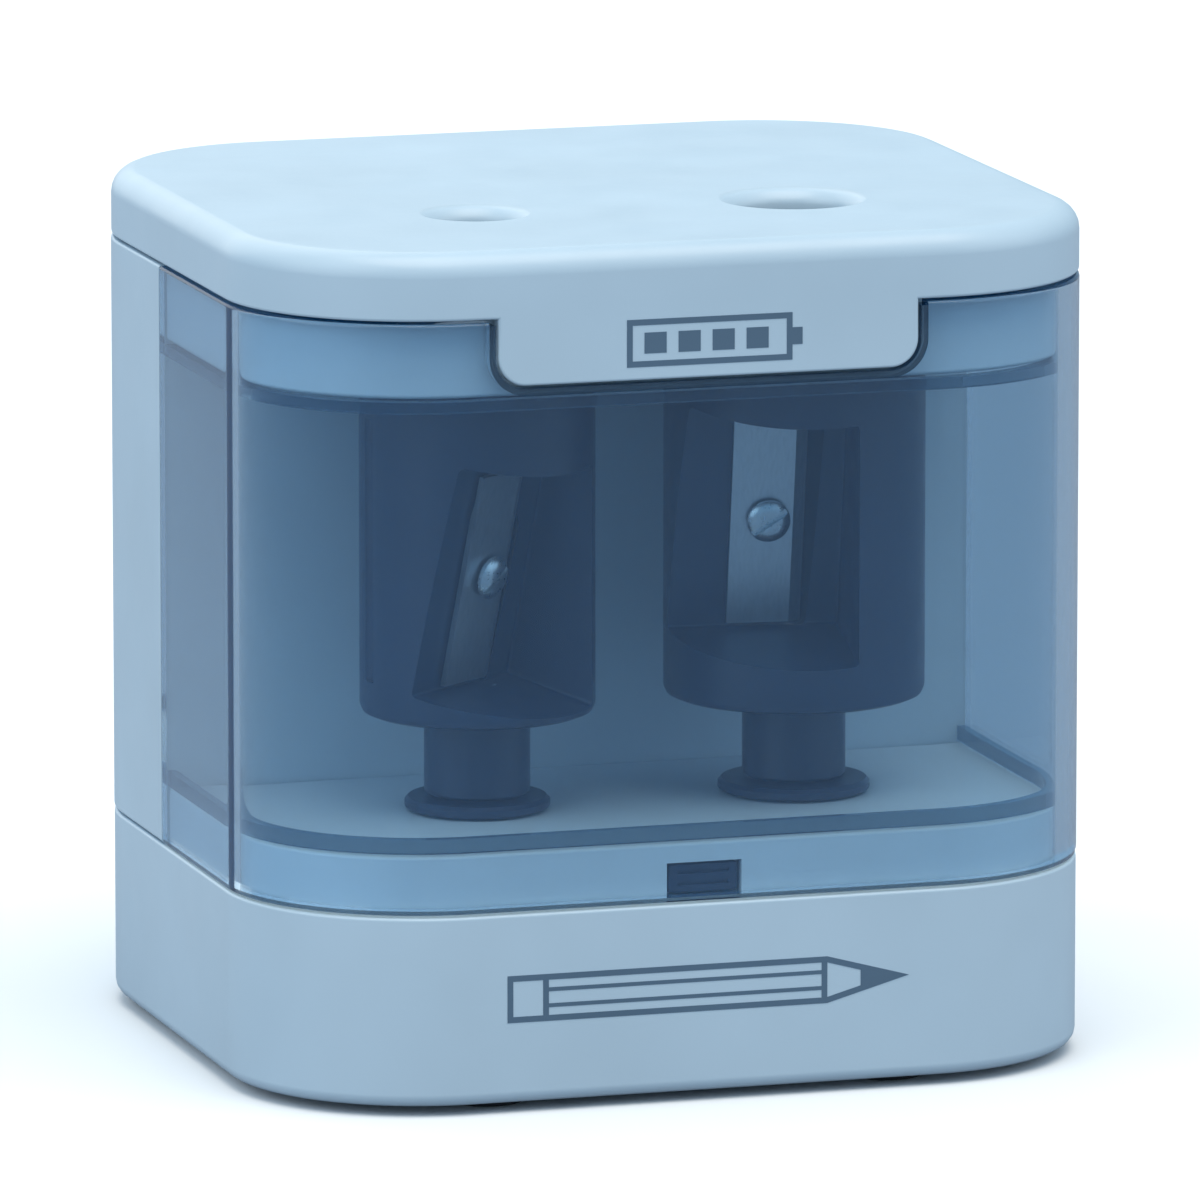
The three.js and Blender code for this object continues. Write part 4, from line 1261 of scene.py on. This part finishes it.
# ---- carried-over pieces -------------------------------------------------------------
CARRIED = {
    "acetal": ("left_drive_gear", "right_drive_gear", "compound_gear"),
    "turned steel": ("left_shaft", "right_shaft", "compound_gear_axle", "motor_shaft"),
    "brass": ("motor_pinion",),
    "drawn steel": ("motor_can",),
    "black PVC": ("motor_end_cap", "battery_wire_minus"),
    "red PVC": ("battery_wire_plus", "motor_wire"),
    "nickel": (
        "contact_plus",
        "contact_minus",
        "contact_lower_link",
        "contact_upper_link_1",
        "contact_upper_link_2",
        "contact_spring_1",
        "contact_spring_2",
        "contact_spring_3",
        "contact_spring_4",
    ),
}


def dress_carried():
    """Gives the CAD nodes that stay their finishes."""
    for finish_name, nodes in CARRIED.items():
        for name in nodes:
            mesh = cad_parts[name].data
            mesh.materials.clear()
            mesh.materials.append(MATERIALS[finish_name])


# ---- stage -----------------------------------------------------------------------------
CAMERA = {
    "azimuth": math.radians(-17.07),
    "elevation": math.radians(10.38),
    "distance": 1.5515,
    "lens": 435.4,
    "aim": (0.9 * MM, -0.2 * MM, 46.0 * MM),
}


def make_stage():
    """A pale floor, soft studio light and the camera."""
    scene = bpy.context.scene
    bm = bmesh.new()
    bmesh.ops.create_grid(bm, x_segments=1, y_segments=1, size=6)
    floor = object_of("studio_floor", bm)
    material, tree, _ = new_material("matt white paper")
    seen = add_node(tree, "ShaderNodeLightPath").outputs["Is Camera Ray"]
    # The paper throws less light on the object than it shows, as if it ended close by.
    paper = add_node(
        tree,
        "ShaderNodeMix",
        {6: linear("#959CA6"), 7: linear("#F8FAFC")},
        {0: seen},
        data_type="RGBA",
    )
    matt = add_node(
        tree,
        "ShaderNodeBsdfPrincipled",
        {"Roughness": 0.9, "Specular IOR Level": 0.1},
        {"Base Color": paper.outputs[2]},
    )
    add_node(tree, "ShaderNodeOutputMaterial", links={"Surface": matt.outputs["BSDF"]})
    floor.data.materials.append(material)

    world = bpy.data.worlds.new("soft studio")
    world.use_nodes = True
    backdrop = world.node_tree.nodes["Background"]
    backdrop.inputs["Color"].default_value = (0.52, 0.78, 1.0, 1.0)
    backdrop.inputs["Strength"].default_value = 0.62
    scene.world = world

    lamps = {
        "overhead": {
            "energy": 1.95,
            "angle": 55,
            "tilt": (14, 0, 8),
            "color": (1.0, 0.88, 0.74),
        },
        "left": {"energy": 0.9, "angle": 60, "tilt": (66, 0, -75), "color": (0.92, 0.97, 1.0)},
        "right": {"energy": 0.6, "angle": 60, "tilt": (66, 0, 60), "color": (0.95, 0.98, 1.0)},
        "back": {"energy": 0.7, "angle": 60, "tilt": (-62, 0, 15), "color": (1.0, 0.93, 0.84)},
    }
    for name, lamp in lamps.items():
        light = bpy.data.lights.new(f"{name}_softbox", "SUN")
        light.energy = lamp["energy"]
        light.angle = math.radians(lamp["angle"])
        light.color = lamp["color"]
        made = bpy.data.objects.new(light.name, light)
        made.rotation_euler = [math.radians(a) for a in lamp["tilt"]]
        scene.collection.objects.link(made)

    data = bpy.data.cameras.new("studio_camera")
    data.lens = CAMERA["lens"]
    data.sensor_width = 36
    camera = bpy.data.objects.new("studio_camera", data)
    a, e = CAMERA["azimuth"], CAMERA["elevation"]
    back = Vector((math.sin(a) * math.cos(e), -math.cos(a) * math.cos(e), math.sin(e)))
    camera.location = Vector(CAMERA["aim"]) + back * CAMERA["distance"]
    camera.rotation_mode = "QUATERNION"
    camera.rotation_quaternion = (-back).to_track_quat("-Z", "Y")
    data.clip_start, data.clip_end = 0.1, 20
    scene.collection.objects.link(camera)
    scene.camera = camera
    scene.view_settings.view_transform = "Standard"
    scene.cycles.transmission_bounces = 16
    scene.cycles.transparent_max_bounces = 16


# ---- operators ----------------------------------------------------------------------
class SHARPENER_OT_materials(Operator):
    """Makes every finish"""

    bl_idname = "sharpener.materials"
    bl_label = "Materials"

    def execute(self, context):
        MATERIALS.update(make_materials())
        return {"FINISHED"}


class SHARPENER_OT_stage(Operator):
    """Sets up the floor, the light and the camera"""

    bl_idname = "sharpener.stage"
    bl_label = "Stage"

    def execute(self, context):
        make_stage()
        return {"FINISHED"}


class SHARPENER_OT_base(Operator):
    """Builds the base, its underside and the shell latch"""

    bl_idname = "sharpener.base"
    bl_label = "Base"

    def execute(self, context):
        make_base()
        make_underside()
        make_latch()
        return {"FINISHED"}


class SHARPENER_OT_rear(Operator):
    """Builds the rear body, its door and the cells"""

    bl_idname = "sharpener.rear"
    bl_label = "Rear body"

    def execute(self, context):
        make_rear_housing()
        make_battery_door()
        make_cells()
        return {"FINISHED"}


class SHARPENER_OT_cutters(Operator):
    """Builds the two cutters and their bushes"""

    bl_idname = "sharpener.cutters"
    bl_label = "Cutters"

    def execute(self, context):
        for side in CUTTERS:
            make_cutter(side)
            make_bush(side)
        return {"FINISHED"}


class SHARPENER_OT_hood(Operator):
    """Builds the shell, the guide plate, the cover and the start switches"""

    bl_idname = "sharpener.hood"
    bl_label = "Hood"

    def execute(self, context):
        make_shell()
        make_guide_plate()
        make_cover()
        make_switches()
        return {"FINISHED"}


class SHARPENER_OT_marks(Operator):
    """Prints the two pictograms"""

    bl_idname = "sharpener.marks"
    bl_label = "Printed marks"

    def execute(self, context):
        make_marks()
        return {"FINISHED"}


class SHARPENER_OT_carried(Operator):
    """Dresses the frame's own pieces"""

    bl_idname = "sharpener.carried"
    bl_label = "Carried pieces"

    def execute(self, context):
        dress_carried()
        return {"FINISHED"}


STEPS = (
    SHARPENER_OT_materials,
    SHARPENER_OT_stage,
    SHARPENER_OT_base,
    SHARPENER_OT_rear,
    SHARPENER_OT_cutters,
    SHARPENER_OT_hood,
    SHARPENER_OT_marks,
    SHARPENER_OT_carried,
)


class SHARPENER_PT_panel(Panel):
    """Lists the building steps and the settings"""

    bl_idname = "SHARPENER_PT_panel"
    bl_label = "Sharpener"
    bl_space_type = "VIEW_3D"
    bl_region_type = "UI"
    bl_category = "Sharpener"

    def draw(self, context):
        column = self.layout.column()
        for group in (context.scene.sharpener_sizes, context.scene.sharpener_colours):
            for name in group.__annotations__:
                column.prop(group, name)
        for step in STEPS:
            column.operator(step.bl_idname)


CLASSES = (SharpenerSizes, SharpenerColours, *STEPS, SHARPENER_PT_panel)


def register():
    """Registers the classes and the scene's settings."""
    for cls in CLASSES:
        bpy.utils.register_class(cls)
    bpy.types.Scene.sharpener_sizes = PointerProperty(type=SharpenerSizes)
    bpy.types.Scene.sharpener_colours = PointerProperty(type=SharpenerColours)


def unregister():
    """Takes them away again."""
    del bpy.types.Scene.sharpener_colours
    del bpy.types.Scene.sharpener_sizes
    for cls in reversed(CLASSES):
        bpy.utils.unregister_class(cls)


def main():
    """Builds the sharpener."""
    register()
    for step in STEPS:
        group, name = step.bl_idname.split(".")
        getattr(getattr(bpy.ops, group), name)()


if __name__ == "__main__":
    main()
